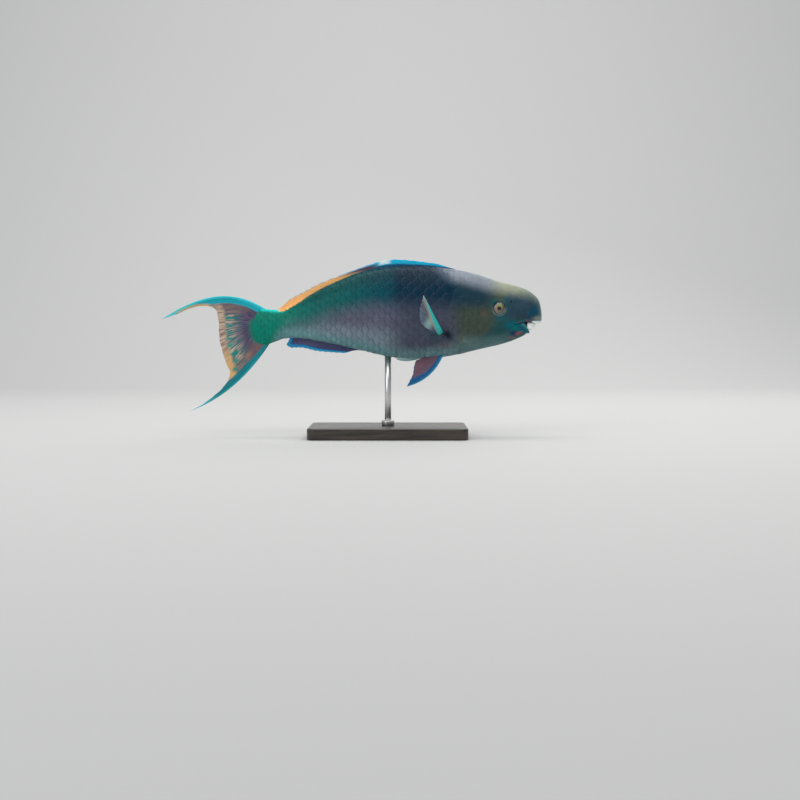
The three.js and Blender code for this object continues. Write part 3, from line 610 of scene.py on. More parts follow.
def skinPlaces():
    # x of each ring, and the turn of each of its columns, crowded towards the mouth line on the head
    fine = snoutX - (skinLook["ringStep"] * np.arange(1, skinLook["fineRings"] + 1)) ** 2
    trunk = np.linspace(fine[-1], capStart, skinLook["trunkRings"] + 1)[1:]
    cap = capStart - tailCap * np.sin(np.linspace(0, math.radians(88), skinLook["capRings"] + 1)[1:])
    x = np.concatenate([fine, trunk, cap])
    _, bottom, level, _ = sectionAt(x)
    drop = np.clip((mouthLineAt(np.maximum(x, mouth["corner"][0])) - level) / (level - bottom), -0.9, 0.3)
    near = smooth(140, 172, x)
    middleTurn = mix(1.95, np.arccos(drop), near)[:, None]
    power = mix(1.0, skinLook["crowd"], near)[:, None]
    share = np.arange(skinLook["sideColumns"] + 1)[None] / skinLook["sideColumns"]
    cut = skinLook["mouthShare"]
    upper = middleTurn * (1 - np.maximum(0, 1 - share / cut) ** power)
    lower = middleTurn + (math.pi - middleTurn) * np.maximum(0, (share - cut) / (1 - cut)) ** power
    half = np.where(share < cut, upper, lower)
    return x, np.concatenate([half, 2 * math.pi - half[:, -2:0:-1]], 1)


def scaledShare(x, z):
    # 1 where scales cover the skin, 0 on the bare snout, lips, chin and round the eye
    eyeFar = np.hypot(x - eye["x"], z - eye["z"])
    return smooth(152, 138, x) * smooth(11, 16, eyeFar)


def lipRoll():
    # the lower lip's rounded edge: a closed tube along the lip line, from one mouth corner to the other
    xs = np.linspace(skinLook["lipFromX"], mouth["lipEndX"] + 1, 3000)
    zs = lowerLipAt(xs)
    xs, zs = xs[zs > bellyAt(xs) + 0.001], zs[zs > bellyAt(xs) + 0.001]
    left = np.stack([xs, flankAt(xs, zs), zs], -1)
    line = np.concatenate([left, (left * [1, -1, 1])[::-1]])
    length = runAlong(line, 0)
    share = np.linspace(0, length[-1], skinLook["lipSteps"])
    path = np.stack([np.interp(share, length, line[:, axis]) for axis in range(3)], -1)
    ahead = unit(np.gradient(path, axis=0))
    out = path - skinLook["mouthMiddle"]
    out = unit(out - ahead * (out * ahead).sum(1, keepdims=True))
    side = np.cross(ahead, out)
    ends = np.linspace(-1, 1, len(path))[:, None]
    size = mix(skinLook["lipThick"], skinLook["lipEndThick"], np.abs(ends) ** 3)
    path = path - out * (1.4 * np.abs(ends) ** 14 + 0.2)
    rows, columns = len(path), skinLook["lipColumns"]
    around = np.linspace(0, 2 * math.pi, columns, endpoint=False)[None, :, None]
    tube = path[:, None] + size[..., None] * (np.cos(around) * out[:, None] + np.sin(around) * side[:, None])
    points = np.concatenate([tube.reshape(-1, 3), path[:1] - ahead[:1] * 0.4, path[-1:] + ahead[-1:] * 0.4])
    uv = tubeUv(0.01 + 0.98 * np.arange(rows) / (rows - 1), 0.972 + 0.024 * np.arange(columns + 1) / columns)
    return points, tubeFaces(rows, columns), uv


def buildSkin():
    x, turn = skinPlaces()
    places = x[:, None] + 0 * turn
    base = envelope(places, turn)
    bx, by, bz = base[..., 0], base[..., 1], base[..., 2]
    points = flesh(places, turn, -skinLook["underScales"] * scaledShare(bx, bz))
    # behind the lower beak the gap of the open mouth is drawn in
    below, lipTurn = mouthLineAt(bx) - bz, bz - lowerLipAt(bx)
    inside = smooth(-0.1, 0.7, below) * smooth(-0.1, 0.9, lipTurn) * smooth(186.2, 187.6, bx)
    backwards = np.minimum(bx, skinLook["hollowX"]) - skinLook["hollowDeep"]
    hollow = np.stack([backwards, by * skinLook["hollowWide"], bz], -1)
    points = mix(points, hollow, inside[..., None])
    tips = points[[0, -1]].mean(axis=1)
    lip, lipFaces, lipUv = lipRoll()
    rings, columns = turn.shape
    faces = tubeFaces(rings, columns) + [part + rings * columns + len(tips) for part in lipFaces]
    # the unwrap: ring number across, column number up, with the seam along the back
    uv = tubeUv(0.004 + 0.992 * (np.arange(rings) + 1) / (rings + 1),
                0.004 + 0.964 * np.arange(columns + 1) / columns)
    paint = bodyPaint(np.append(bx, [snoutX, tailBaseX]), np.append(by, [0, 12]), np.append(bz, [168, 154]))
    lipPaint = mix(tints["lipRim"], tints["teal"], smooth(-0.6, 0.6, cloud(lip, 4, 12))[:, None])
    allPoints = np.concatenate([points.reshape(-1, 3), tips, lip])
    skin = putMesh("skin", allPoints, faces, skinFinish("parrotfishSkin", 0.42, 0.03), "skin_front",
                   paint=np.concatenate([paint, lipPaint]), uv=np.concatenate([uv, lipUv]))
    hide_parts("head", "gill_cover_right", "gill_cover_left", "lower_jaw", "trunk", "rear_body",
                "tail_stem")
    print("skin:", len(allPoints), "points")


# Scales: thin overlapping plates in staggered columns

scaleLook = {
    "along": [0, 0.24, 0.44, 0.62, 0.79, 0.92, 1], "across": [-1, -0.78, -0.42, 0, 0.42, 0.78, 1],
    "rows": 16, "underSkin": 0.2, "lift": 0.5, "crown": 0.22, "thick": 0.3, "tailShare": 0.72,
    "tailX": -180, "tailRoom": 9, "edgeRoom": 3.7, "edgeGap": 4}
bodyScales = {"step": 8.0, "row": 15.0, "length": 16.0, "half": 8.6, "bow": 5.2, "frontX": 148, "rearX": -181,
              "height": 1.0, "uStart": 0.004, "uEnd": 0.8, "gillGap": -3.2, "gillRoom": 2.8}
headScales = {"step": 7.0, "row": 12.0, "length": 13.0, "half": 6.9, "bow": 4.2, "frontX": 146, "rearX": 84,
              "height": 0.6, "uStart": 0.82, "uEnd": 0.996, "gillGap": 3.5, "gillRoom": -2.4}


girthLook = {"rearX": -191.5, "frontX": 160, "stations": 352, "turns": 361, "shares": 241}


def girthTable():
    # for every x, the turn at a share of the way from the widest level to the back, +1, or the belly, -1
    x = np.linspace(girthLook["rearX"], girthLook["frontX"], girthLook["stations"])
    turn = np.linspace(0, math.pi, girthLook["turns"])
    ring = envelope(x[:, None], turn[None] + 0 * x[:, None])
    length = runAlong(ring, 1)
    up = length[:, girthLook["turns"] // 2]
    girth = up[:, None] - length
    down = -girth[:, -1]
    share = np.where(girth > 0, girth / up[:, None], girth / down[:, None])
    shares = np.linspace(-1, 1, girthLook["shares"])
    table = np.stack([np.interp(-shares, -row, turn) for row in share])
    return x, up, down, shares, table


girthX, girthUp, girthDown, girthShares, girthTurns = girthTable()


def girthLimit(x, girth):
    # the most that girth can be at x, on its own side of the widest level
    return np.where(girth > 0, np.interp(x, girthX, girthUp), np.interp(x, girthX, girthDown))


def turnAt(x, girth):
    # turn of the point at x whose distance round the body from the widest level is girth, off the midlines
    limit = girthLimit(x, girth)
    size = easeTo(np.abs(girth), limit - scaleLook["edgeGap"], scaleLook["edgeRoom"])
    share = np.sign(girth) * size / limit
    fx = np.clip((x - girthX[0]) / (girthX[1] - girthX[0]), 0, len(girthX) - 1.001)
    fs = np.clip((share + 1) / (girthShares[1] - girthShares[0]), 0, len(girthShares) - 1.001)
    i, j = fx.astype(int), fs.astype(int)
    a, b = fx - i, fs - j
    low = mix(girthTurns[i, j], girthTurns[i, j + 1], b)
    high = mix(girthTurns[i + 1, j], girthTurns[i + 1, j + 1], b)
    return mix(low, high, a)


def shrinkAt(x):
    # the plates grow smaller towards the tail
    return mix(1.0, scaleLook["tailShare"], smooth(20, scaleLook["tailX"], x))


def scaleCentres(look):
    # column and row of every plate, its place along the fish and its distance round it
    columns = [look["frontX"]]
    while columns[-1] > look["rearX"]:
        columns.append(columns[-1] - look["step"] * float(shrinkAt(columns[-1])))
    rows = np.arange(-scaleLook["rows"], scaleLook["rows"] + 1)
    column, row = np.meshgrid(np.arange(len(columns)), rows, indexing="ij")
    x = np.array(columns)[column]
    girth = (row + 0.5 * (column % 2)) * look["row"] * shrinkAt(x)
    z = envelope(x, turnAt(x, girth))[..., 2]
    inside = np.abs(girth) < girthLimit(x, girth) - 2.5
    if look is bodyScales:
        inside &= (x < gillAt(z) - 1.5) | ((z > 204.5) & (x < 150 - 0.9 * np.maximum(0, 214 - z)))
    else:
        eyeFar = np.hypot(x - eye["x"], z - eye["z"])
        inside &= (x > gillAt(z) + 8) & (z < 201) & (z > 131) & (eyeFar > 17) & (x < 136 + 0.35 * (172 - z))
        inside &= coverRimFar(x, z) > 6.8
    return column[inside], row[inside], x[inside], girth[inside]


def plateFaces():
    # one plate: its upper grid, the lower rim under the grid's border, and a middle point below
    a, b = len(scaleLook["along"]), len(scaleLook["across"])
    border = borderOf(a, b)
    lower = a * b + np.arange(len(border))
    following = np.roll(lower, -1)
    fan = np.stack([np.full(len(border), a * b + len(border)), following, lower], -1)
    rim = np.stack([lower, following, np.roll(border, -1), border], -1)
    return border, [fan, rim, gridFaces(a, b)[:, ::-1]]


def shownShare(x, z):
    # 1 where plates stand free, 0 where they sink into the bare head; the nape's plates fade forwards
    onHead = smooth(-2, 4, x - gillAt(z))
    onNape = smooth(142, 98, x) * smooth(203, 213, z)
    return 1 - onHead * (1 - np.maximum(onNape, smooth(151, 124, x) * smooth(203, 196, z)))


def platePaint(x, y, z, p, q, chance):
    # the body's markings, darker at each plate's root as painted shade under the edge of the plate ahead, and
    # an edge tint that differs from plate to plate
    paint = bodyPaint(x, y, z)
    greenShare = smooth(-14, 10, z - greenEdgeAt(x)) * smooth(40, 5, x)
    other = mix(tints["edgeMauve"], tints["edgeTeal"], greenShare[..., None])
    edge = smooth(0.74, 0.97, p + 0.05 * q ** 2) * smooth(104, 70, x)
    paint = cover(paint, other, edge * mix(0.36, 0.2, smooth(-60, -140, x)) * (0.6 + 0.8 * chance))
    return paint * (mix(0.9, 1.04, smooth(0.3, 0.7, p)) * (0.93 + 0.14 * chance))[..., None]


def plates(look, side):
    # every plate of one side as arrays: points, paint, places in the plate, unwrap and faces
    column, row, atX, atGirth = scaleCentres(look)
    count = len(atX)
    size = shrinkAt(atX)[:, None, None]
    p = np.array(scaleLook["along"])[None, :, None]
    q = np.array(scaleLook["across"])[None, None, :]
    wide = look["half"] * size * q * mix(0.74, 1.0, smooth(0, 0.5, p)) * (1 - 0.1 * p ** 4)
    long = look["length"] * size * (p - 0.35) - look["bow"] * size * q ** 2 * p
    girth = atGirth[:, None, None] + wide
    x = easeTo(atX[:, None, None] - long, scaleLook["tailX"], -scaleLook["tailRoom"])
    # the body's plates stop behind the gill cover's edge, the cover's own plates before it
    z = envelope(x, turnAt(x, girth))[..., 2]
    limit = gillAt(z) + look["gillGap"]
    if look is bodyScales:
        limit = np.where(z < 206, limit, 400)
    over = (x - limit) * np.sign(look["gillRoom"])
    x = easeTo(x, limit, look["gillRoom"])
    turn = turnAt(x, girth)
    turn = turn if side > 0 else 2 * math.pi - turn
    base = envelope(x, turn)
    bx, by, bz = base[..., 0], base[..., 1], base[..., 2]
    rise = mix(-scaleLook["underSkin"], scaleLook["lift"], p) - 0.12 * q ** 2
    rise = rise + scaleLook["crown"] * (1 - q ** 2) * smooth(0, 0.3, p)
    flatter = 1 - 0.65 * smooth(50, 96, bx) * smooth(-12, 8, bz - crownEdgeAt(bx))
    lift = mix(-0.7, rise * size * look["height"] * flatter, shownShare(bx, bz) * smooth(3.4, 0.4, over))
    upper = flesh(x, turn, -skinLook["underScales"] * scaledShare(bx, bz) + lift)
    border, faces = plateFaces()
    lower = upper - outwardAt(x, turn) * scaleLook["thick"] * look["height"]
    lower = lower.reshape(count, -1, 3)[:, border]
    points = np.concatenate([upper.reshape(count, -1, 3), lower, lower.mean(axis=1, keepdims=True)], 1)

    chance = random.random((count, 1, 1))
    paint = platePaint(bx, by, bz, p, q, chance).reshape(count, -1, 3)
    # painted shade: the plate's lower rim and the middle point under it are darker
    paint = np.concatenate([paint, paint[:, border] * 0.85, paint[:, :1] * 0.8], 1)
    spotP, spotQ = (np.broadcast_to(part, (1, p.size, q.size)).reshape(-1) for part in (p, q))
    local = np.stack([spotP, spotQ], -1)
    local = np.concatenate([local, local[border], [[0.5, 0]]])
    spots = np.concatenate([np.broadcast_to(local, (count,) + local.shape),
                            np.broadcast_to(chance, (count, len(local), 1))], -1)
    # the unwrap: a cell of its own for every plate, the grid inside, the lower rim along the cell's border
    patch = np.stack([0.06 + 0.88 * spotP, 0.5 + 0.44 * spotQ], -1)
    edge = np.stack([spotP[border], 0.5 + 0.5 * spotQ[border]], -1)
    patch = np.concatenate([patch, edge, [[0.5, 0.5]]])
    cells = np.array([column.max() + 1, 2 * scaleLook["rows"] + 1])
    within = (np.stack([column, row + scaleLook["rows"]], -1)[:, None] + 0.02 + 0.96 * patch[None]) / cells
    start = 0.004 if side > 0 else 0.502
    uv = np.stack([mix(look["uStart"], look["uEnd"], within[..., 0]), start + 0.494 * within[..., 1]], -1)
    offset = (np.arange(count) * points.shape[1])[:, None, None]
    faces = [(part[None] + offset).reshape(-1, part.shape[1])[:, ::side] for part in faces]
    print("plates:", count)
    return [part.reshape(-1, part.shape[-1]) for part in (points, paint, spots, uv)], faces


def buildScales(material):
    for side, name in ((-1, "scales_right"), (1, "scales_left")):
        print(name + ":")
        (onBody, bodyFaces), (onHead, headFaces) = plates(bodyScales, side), plates(headScales, side)
        points, paint, spots, uv = [np.concatenate(pair) for pair in zip(onBody, onHead)]
        faces = [part for pair in zip(bodyFaces, headFaces) for part in (pair[0], pair[1] + len(onBody[0]))]
        putMesh(name, points, faces, material, "skin_rear", paint=paint, vectors={"scaleSpot": spots}, uv=uv)


# Beaks: two plates of fused teeth

beakLook = {"proud": 0.9, "thick": 2.4, "rearX": 199.0, "frontX": 213, "notch": 0.35, "overbite": 1.1,
            "lowerCentre": (189.6, 156.5), "lowerReach": (16.2, 14.2, 15), "lowerDepth": 8.7,
            "lowerLow": 148.1, "lowerSweep": 78, "columns": 121, "rows": 29}


def shellOf(grid, thick):
    # a closed plate from an outer grid: the inner face lies thick below it, and a rim joins them
    a, b = grid.shape[:2]
    border = borderOf(a, b)
    after = np.roll(border, -1)
    outerFaces = gridFaces(a, b)
    rim = np.stack([border, after, after + a * b, border + a * b], -1)
    faces = [outerFaces, outerFaces[:, ::-1] + a * b, rim]
    # the unwrap: the outer face above, the inner face below, and a narrow band for the rim between them
    s = np.linspace(0, 1, a)[:, None] + np.zeros((a, b))
    t = np.linspace(0, 1, b)[None] + np.zeros((a, b))
    both = np.concatenate([np.stack([0.01 + 0.98 * t, low + high * s], -1).reshape(-1, 2)
                           for low, high in ((0.53, 0.46), (0.01, 0.42))])
    rimUv = cellUv(np.array([0.45, 0.51]), 0.01 + 0.98 * np.arange(len(border) + 1) / len(border))[:, ::-1]
    uv = np.concatenate([both[faces[0]].reshape(-1, 2), both[faces[1]].reshape(-1, 2), rimUv])
    points = np.concatenate([grid.reshape(-1, 3), (grid + gridNormal(grid) * thick).reshape(-1, 3)])
    return points, faces, uv


def beakFinish():
    # ivory plates: small pebbled tooth crowns in rows, with a soft sheen
    shader = Shader("beakIvory")
    cells = shader.add("TexVoronoi", {"Vector": shader.place}, {"feature": "SMOOTH_F1"}, Scale=620)
    distance = cells.outputs["Distance"]
    colour = shader.times(shader.attribute("paint"), shader.spread(distance, 1.04, 0.86, 0.1, 0.8))
    pebble = shader.bump(distance, 0.3, 0.0004, settings={"invert": True})
    fine = shader.bump(shader.noise(1500), 0.12, 0.0002, pebble)
    body = shader.add("BsdfPrincipled", {"Base Color": colour, "Normal": fine}, Roughness=0.3,
                      Coat_Weight=0.4, Coat_Roughness=0.1)
    return shader.finish(body)


def upperBeak(s, t):
    # s runs up the plate, t from one side round to the other; the edge's notches are the small teeth
    ends = np.abs(t)
    roughX = mix(beakLook["frontX"], beakLook["rearX"], t ** 2)
    low = mouthLineAt(roughX) - 0.5 - beakLook["overbite"] * smooth(199, 207, roughX) + 0 * s
    notch = beakLook["notch"] * np.abs(np.sin(14.4 * ends)) ** 0.6 * smooth(0.6, 0, s)
    z = mix(low, beakTopAt(roughX) + 1.0, s) + notch * 0.7
    frontX = frontAt(z)
    x = frontX - (frontX - beakLook["rearX"]) * t ** 2
    grid = np.stack([x, np.sign(t) * flankAt(x, z), z], -1)
    normal = gridNormal(grid)
    normal *= np.sign(normal[beakLook["rows"] // 2, beakLook["columns"] // 2, 0])
    cleft = 0.5 * bell(t, 0, 0.018) * smooth(0.9, 0.2, s)
    edge = smooth(0, 0.12, 1 - ends) * smooth(1.0, 0.86, s)
    grid = grid + normal * (mix(0.15, beakLook["proud"], edge) - cleft)[..., None]
    ivory = tint(246, 250, 244) + 0 * grid
    ivory = cover(ivory, tint(196, 220, 218), smooth(0.5, 0.9, s + 0.12 * cloud(grid, 3, 40)) * 0.7)
    return grid, cover(ivory, tint(186, 196, 176), bell(t, 0, 0.02) * 0.5 + 0 * s)


def lowerBeak(s, t):
    # a rounded scoop: an oval seen from above, drawn in towards its upper edge and its foot
    centre, reach = beakLook["lowerCentre"], beakLook["lowerReach"]
    ends = np.abs(t)
    turn = np.radians(beakLook["lowerSweep"]) * t
    x = centre[0] + reach[0] * np.cos(turn) + 0 * s
    # the edge's height hangs on x and x on the height, so both are found in three rounds
    for _ in range(3):
        tooth = 0.5 * np.abs(np.sin(12 * turn)) ** 0.7 * smooth(0.6, 1, s)
        z = mix(beakLook["lowerLow"] + 3.4 * ends ** 5, mouthLineAt(x) - 0.45 - tooth - 1.8 * ends ** 5, s)
        above = np.maximum(0, z - centre[1]) / reach[2]
        under = np.maximum(0, centre[1] - z) / beakLook["lowerDepth"]
        ring = np.sqrt(1 - above ** 2 - under ** 2.6)
        x = centre[0] + reach[0] * ring * np.cos(turn)
    y = reach[1] * ring * np.sin(turn) * (1 - 0.12 * ends ** 10)
    grid = np.stack([x, y, z], -1)
    grid[..., 0] -= 0.5 * bell(t, 0, 0.02) * smooth(0.1, 0.8, s)
    ivory = tint(250, 255, 253) + 0 * grid
    return grid, cover(ivory, tint(214, 232, 228), smooth(0.35, 0.0, s + 0.1 * cloud(grid, 3, 41)))


def putBeak(name, shape, material):
    grid, ivory = shape
    points, faces, uv = shellOf(grid, beakLook["thick"])
    paint = np.concatenate([ivory.reshape(-1, 3)] * 2)
    return putMesh(name, points, faces, material, "beak", paint=paint, uv=uv)


def buildBeaks(material):
    t = np.linspace(-1, 1, beakLook["columns"])[None]
    s = np.linspace(0, 1, beakLook["rows"])[:, None]
    upper = putBeak("beak_upper", upperBeak(s, t), material)
    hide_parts("upper_beak")
    lower = putBeak("beak_lower", lowerBeak(s, t), material)
    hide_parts("lower_beak")
    print("beaks: two plates")


# Eyes

eyeLook = {"pupil": 2.9, "rings": 60, "columns": 96, "cornea": 0.35, "corneaRings": 32, "corneaColumns": 64}
eyeTints = {"outer": tint(140, 142, 134), "gold": tint(150, 156, 66), "pink": tint(158, 122, 114),
            "arc": tint(60, 62, 50), "brightGold": tint(196, 178, 92), "brow": tint(44, 70, 72),
            "pupil": tint(10, 10, 6), "hidden": tint(20, 26, 30)}


def dome(radius, depth, rings, columns):
    # a closed ellipsoid round its own axis y, pole to pole: radius in x and z, depth in y
    lat = np.linspace(0, math.pi, rings + 1)[1:-1, None]
    lon = np.linspace(0, 2 * math.pi, columns, endpoint=False)[None]
    points = np.stack([radius * np.sin(lat) * np.cos(lon), depth * np.cos(lat) + 0 * lon,
                       radius * np.sin(lat) * np.sin(lon)], -1).reshape(-1, 3)
    return np.concatenate([points, [[0, depth, 0], [0, -depth, 0]]]), tubeFaces(rings - 1, columns)


def eyeUv(points):
    # the outer half fills a disc, the hidden half a smaller one
    size = np.where(points[:, 1] > -1e-6, 0.495, 0.3)[:, None]
    return 0.5 + points[:, [0, 2]] / eye["radius"] * size


def irisFinish():
    shader = Shader("irisGold")
    grain = shader.noise(1400, 3)
    colour = shader.times(shader.attribute("paint"), shader.spread(grain, 0.86, 1.14))
    body = shader.add("BsdfPrincipled", {"Base Color": colour, "Normal": shader.bump(grain, 0.2, 0.0003)},
                      Roughness=0.35, Coat_Weight=0.3)
    return shader.finish(body)


def corneaFinish():
    # clear, with a wet shine that grows towards its edge
    shader = Shader("cornea")
    soft = shader.bump(shader.noise(120), 0.02, 0.0002)
    share = shader.add("Fresnel", {"Normal": soft}, IOR=1.38)
    shine = shader.add("BsdfGlossy", {"Normal": soft}, Roughness=0.03)
    return shader.finish(shader.add("MixShader", {0: share, 1: shader.add("BsdfTransparent"), 2: shine}))


def eyeball():
    # an eye's ball about its own middle, looking along +y, and its paint
    points, faces = dome(eye["radius"] - 0.3, eye["depth"] - 0.5, eyeLook["rings"], eyeLook["columns"])
    far = np.hypot(points[:, 0], points[:, 2])
    turn = np.arctan2(points[:, 2], points[:, 0])
    front = points[:, 1] > 0
    # the pupil is a shallow pit in a slightly flattened iris
    points[:, 1] -= np.where(front, 0.5 * smooth(6.4, 2.5, far) + 0.5 * smooth(3.3, 2.7, far), 0)
    streak = cloud(np.stack([np.cos(turn) * 9, np.sin(turn) * 9, far * 0.6], -1), 1.1, 60)
    upper = smooth(-0.2, 0.8, np.sin(turn) + 0.35 * np.cos(turn))
    back = smooth(0.2, 0.9, -np.cos(turn)) * (1 - upper)
    pupil = eyeLook["pupil"]
    colours = lay(eyeTints["outer"] + 0 * points, eyeTints, ("gold", upper * smooth(7.4, 4.8, far)),
                  ("pink", back * smooth(8.4, 5.6, far)),
                  ("arc", bell(far, 5.4, 0.9) * smooth(0.1, 0.8, np.cos(turn + 0.7)) * 0.8),
                  ("brightGold", bell(far, pupil + 0.75, 0.6) * (0.3 + 0.5 * upper)),
                  ("brow", smooth(5.2, 7.6, far) * smooth(-0.3, 0.5, np.sin(turn)) * 0.85))
    colours = lay(colours * (1 + 0.25 * streak[:, None]), eyeTints,
                  ("pupil", smooth(pupil + 0.35, pupil - 0.2, far) * front), ("hidden", (~front) * 1.0))
    return points, faces, colours


def putEye(name, side, points, faces, material, paint=None):
    # a ball or a cornea in its socket, mirrored for the right side
    out = float(flankAt(np.array(eye["x"]), np.array(eye["z"]))) - eye["sink"]
    placed = points * [1, side, 1] + [eye["x"], side * out, eye["z"]]
    turnedFaces = [part[:, ::side] for part in faces]
    return putMesh(name, placed, turnedFaces, material, "eye", paint=paint, uv=eyeUv(points))


def buildEyes():
    irisMaterial, corneaMaterial = irisFinish(), corneaFinish()
    points, faces, colours = eyeball()
    clear = dome(eye["radius"] - 0.15, eye["depth"] + eyeLook["cornea"], eyeLook["corneaRings"],
                 eyeLook["corneaColumns"])
    for side, word in ((-1, "right"), (1, "left")):
        ball = putEye("eyeball_" + word, side, points, faces, irisMaterial, colours)
        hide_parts("eye_" + word)
        putEye("cornea_" + word, side, *clear, corneaMaterial)
    print("eyes: iris and cornea on both sides")


# Fins: thin sheets with raised, forking rays on both faces

def rayPattern(u, v, gap, look):
    # height of the rays over the membrane: each forks twice on its way out; gap is the mm between rays
    f = u * look["rays"]
    s = np.abs(f - np.floor(f) - 0.5)
    first, second = (smooth(start, start + 0.45, v) * look["forking"] for start in look["fork"])
    off = np.abs(np.abs(s - 0.25 * first) - 0.125 * second)
    wide = np.minimum(mix(look["rayWide"], look["rayWide"] * 0.45, v), 0.3 * gap * (1 - 0.45 * first) + 0.15)
    return np.exp(-(off * gap / wide) ** 2) * mix(1.0, 0.35, v)


def finFinish(name, through):
    # two painted colours mixed in fine lines along the rays, cross joints on the rays, some light through it
    shader = Shader(name)
    raySpot = shader.attribute("raySpot", "Vector")
    parts = shader.add("SeparateXYZ", {"Vector": raySpot})
    lines = shader.noise(1, place=shader.add("Mapping", {"Vector": raySpot}, Scale=(6, 0.05, 0)))
    share = shader.spread(lines, 0, 1, 0.45, 0.58)
    grain = shader.noise(700, 3)
    paint, lineTint = shader.attribute("paint"), shader.attribute("lineTint", "Vector")
    both = shader.add("Mix", {0: share, 6: paint, 7: lineTint}, {"data_type": "RGBA"})
    colour = shader.times(both.outputs[2], shader.spread(grain, 0.92, 1.08))
    joint = shader.wave(parts.outputs["Y"], 3.9)
    height = shader.add("Math", {0: joint, 1: parts.outputs["Z"]}, {"operation": "MULTIPLY"})
    bump = shader.bump(grain, 0.1, 0.0003, shader.bump(height, 0.35, 0.0003))
    body = shader.add("BsdfPrincipled", {"Base Color": colour, "Normal": bump}, Roughness=0.42,
                      Coat_Weight=0.1, Coat_Roughness=0.2, Specular_IOR_Level=0.3)
    glow = shader.add("BsdfTranslucent", {"Color": colour, "Normal": bump})
    mixed = shader.add("MixShader", {1: body, 2: glow})
    mixed.inputs[0].default_value = through
    return shader.finish(mixed)


def buildFin(name, place, look, paintFin, material, slot, *nodes):
    # both faces of a sheet over place(u, v): u runs over the rays, v from root to the scalloped edge
    across, along = (np.linspace(0, 1, look[key] + 1) for key in ("columns", "rows"))
    u, v = np.meshgrid(across, along, indexing="ij")
    bite = np.cos(math.pi * u * look["rays"]) ** 2 * look["scallop"] * smooth(0, 0.04, u) * smooth(1, 0.96, u)
    points = place(u, v * (1 - bite * v ** 3))
    normal = gridNormal(points)
    gap = np.linalg.norm(np.gradient(points, axis=0), axis=-1) * look["columns"] / look["rays"]
    rays = rayPattern(u, v, gap, look)
    long, width = runAlong(points, 1), runAlong(points, 0)
    fromEdge, fromLast = long[:, -1:] - long, width[-1:] - width
    ripple = look["ripple"] * np.sin(2 * math.pi * u * look["rays"] * 0.5 + 3 * v) * v
    points = points + normal * (ripple * smooth(0, 0.08, u) * smooth(1, 0.92, u))[..., None]
    web = mix(look["root"], look["web"], np.minimum(1, 2.4 * v)) * mix(1, 0.75, v)
    rim = smooth(0, 0.6, np.minimum(width, fromLast)) * smooth(0, 0.6, fromEdge)
    rayHigh = look["rayHigh"] * smooth(look["bareRoot"], look["bareRoot"] + 0.14, v)
    out = normal * ((web / 2 + rayHigh * rays) * mix(0.35, 1, rim))[..., None]
    # what the paint may hang on: shares over the sheet, places in mm, the rays, and distances to the borders
    at = {"u": u, "v": v, "points": points, "x": points[..., 0], "z": points[..., 2], "rays": rays,
          "fromFirst": width, "fromLast": fromLast, "fromEdge": fromEdge}
    paint, lineTint = paintFin(at)
    paint = paint * (1 + 0.06 * cloud(points, 4, 21))[..., None]
    spots = np.stack([u * look["rays"], long, rays], -1)
    a, b = u.shape
    border = borderOf(a, b)
    after = np.roll(border, -1)
    grid = gridFaces(a, b)
    faces = [np.stack([border, border + a * b, after + a * b, after], -1), grid[:, ::-1], grid + a * b]
    # each face has its half of the unwrap; the rim is a thin frame at the sheet's own border
    leftUv, rightUv = (np.stack([0.012 + 0.976 * u, start + 0.476 * v], -1).reshape(-1, 2)
                       for start in (0.512, 0.012))
    outside = leftUv + np.sign(leftUv - [0.5, 0.75]) * 0.006
    rimUv = np.stack([leftUv[border], outside[border], outside[after], leftUv[after]], 1)
    uv = [rimUv.reshape(-1, 2), leftUv[faces[1]].reshape(-1, 2), rightUv[grid].reshape(-1, 2)]
    both = np.concatenate([(points + out).reshape(-1, 3), (points - out).reshape(-1, 3)])
    paint, lineTint, spots = (np.concatenate([part.reshape(-1, 3)] * 2) for part in (paint, lineTint, spots))
    fin = putMesh(name, both, faces, material, slot, paint=paint,
                  vectors={"raySpot": spots, "lineTint": lineTint}, uv=np.concatenate(uv))
    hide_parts(*nodes)
    print(name + ":", len(both), "points")


finTints = {
    "cyan": (20, 196, 230), "glint": (226, 246, 246), "blue": (0, 84, 130), "finRed": (88, 70, 96),
    "orange": (250, 200, 128), "orangeRed": (230, 162, 100), "topBlue": (120, 176, 210),
    "baseGreen": (20, 112, 90), "analPurple": (62, 70, 112), "analBlue": (0, 92, 158),
    "analCyan": (10, 172, 214), "analMauve": (100, 90, 124), "tailCyan": (0, 176, 192),
    "tailBright": (60, 222, 228), "tailWeb": (96, 100, 112), "tailPurple": (66, 64, 94),
    "tailLilac": (112, 96, 126), "tailTeal": (52, 130, 134), "tailTan": (210, 190, 168),
    "tailPeach": (234, 188, 122), "tailLow": (0, 134, 146), "tailLowBright": (30, 190, 196),
    "tailTip": (120, 222, 232), "tailSpot": (0, 150, 140), "tailMauve": (120, 104, 112),
    "tailRust": (150, 106, 88), "tailGreen": (0, 126, 110), "pecCyan": (0, 218, 206),
    "pecGlint": (110, 222, 230), "pecPale": (176, 214, 208), "pecOrange": (214, 168, 136),
    "pecLilac": (92, 96, 132), "pecBase": (0, 110, 108), "pelvicRed": (108, 84, 106),
    "pelvicRust": (138, 92, 102), "pelvicBlue": (0, 96, 150), "pelvicEdge": (20, 160, 196),
    "pelvicPale": (230, 255, 255)}
ink = {key: tint(*value) for key, value in finTints.items()}

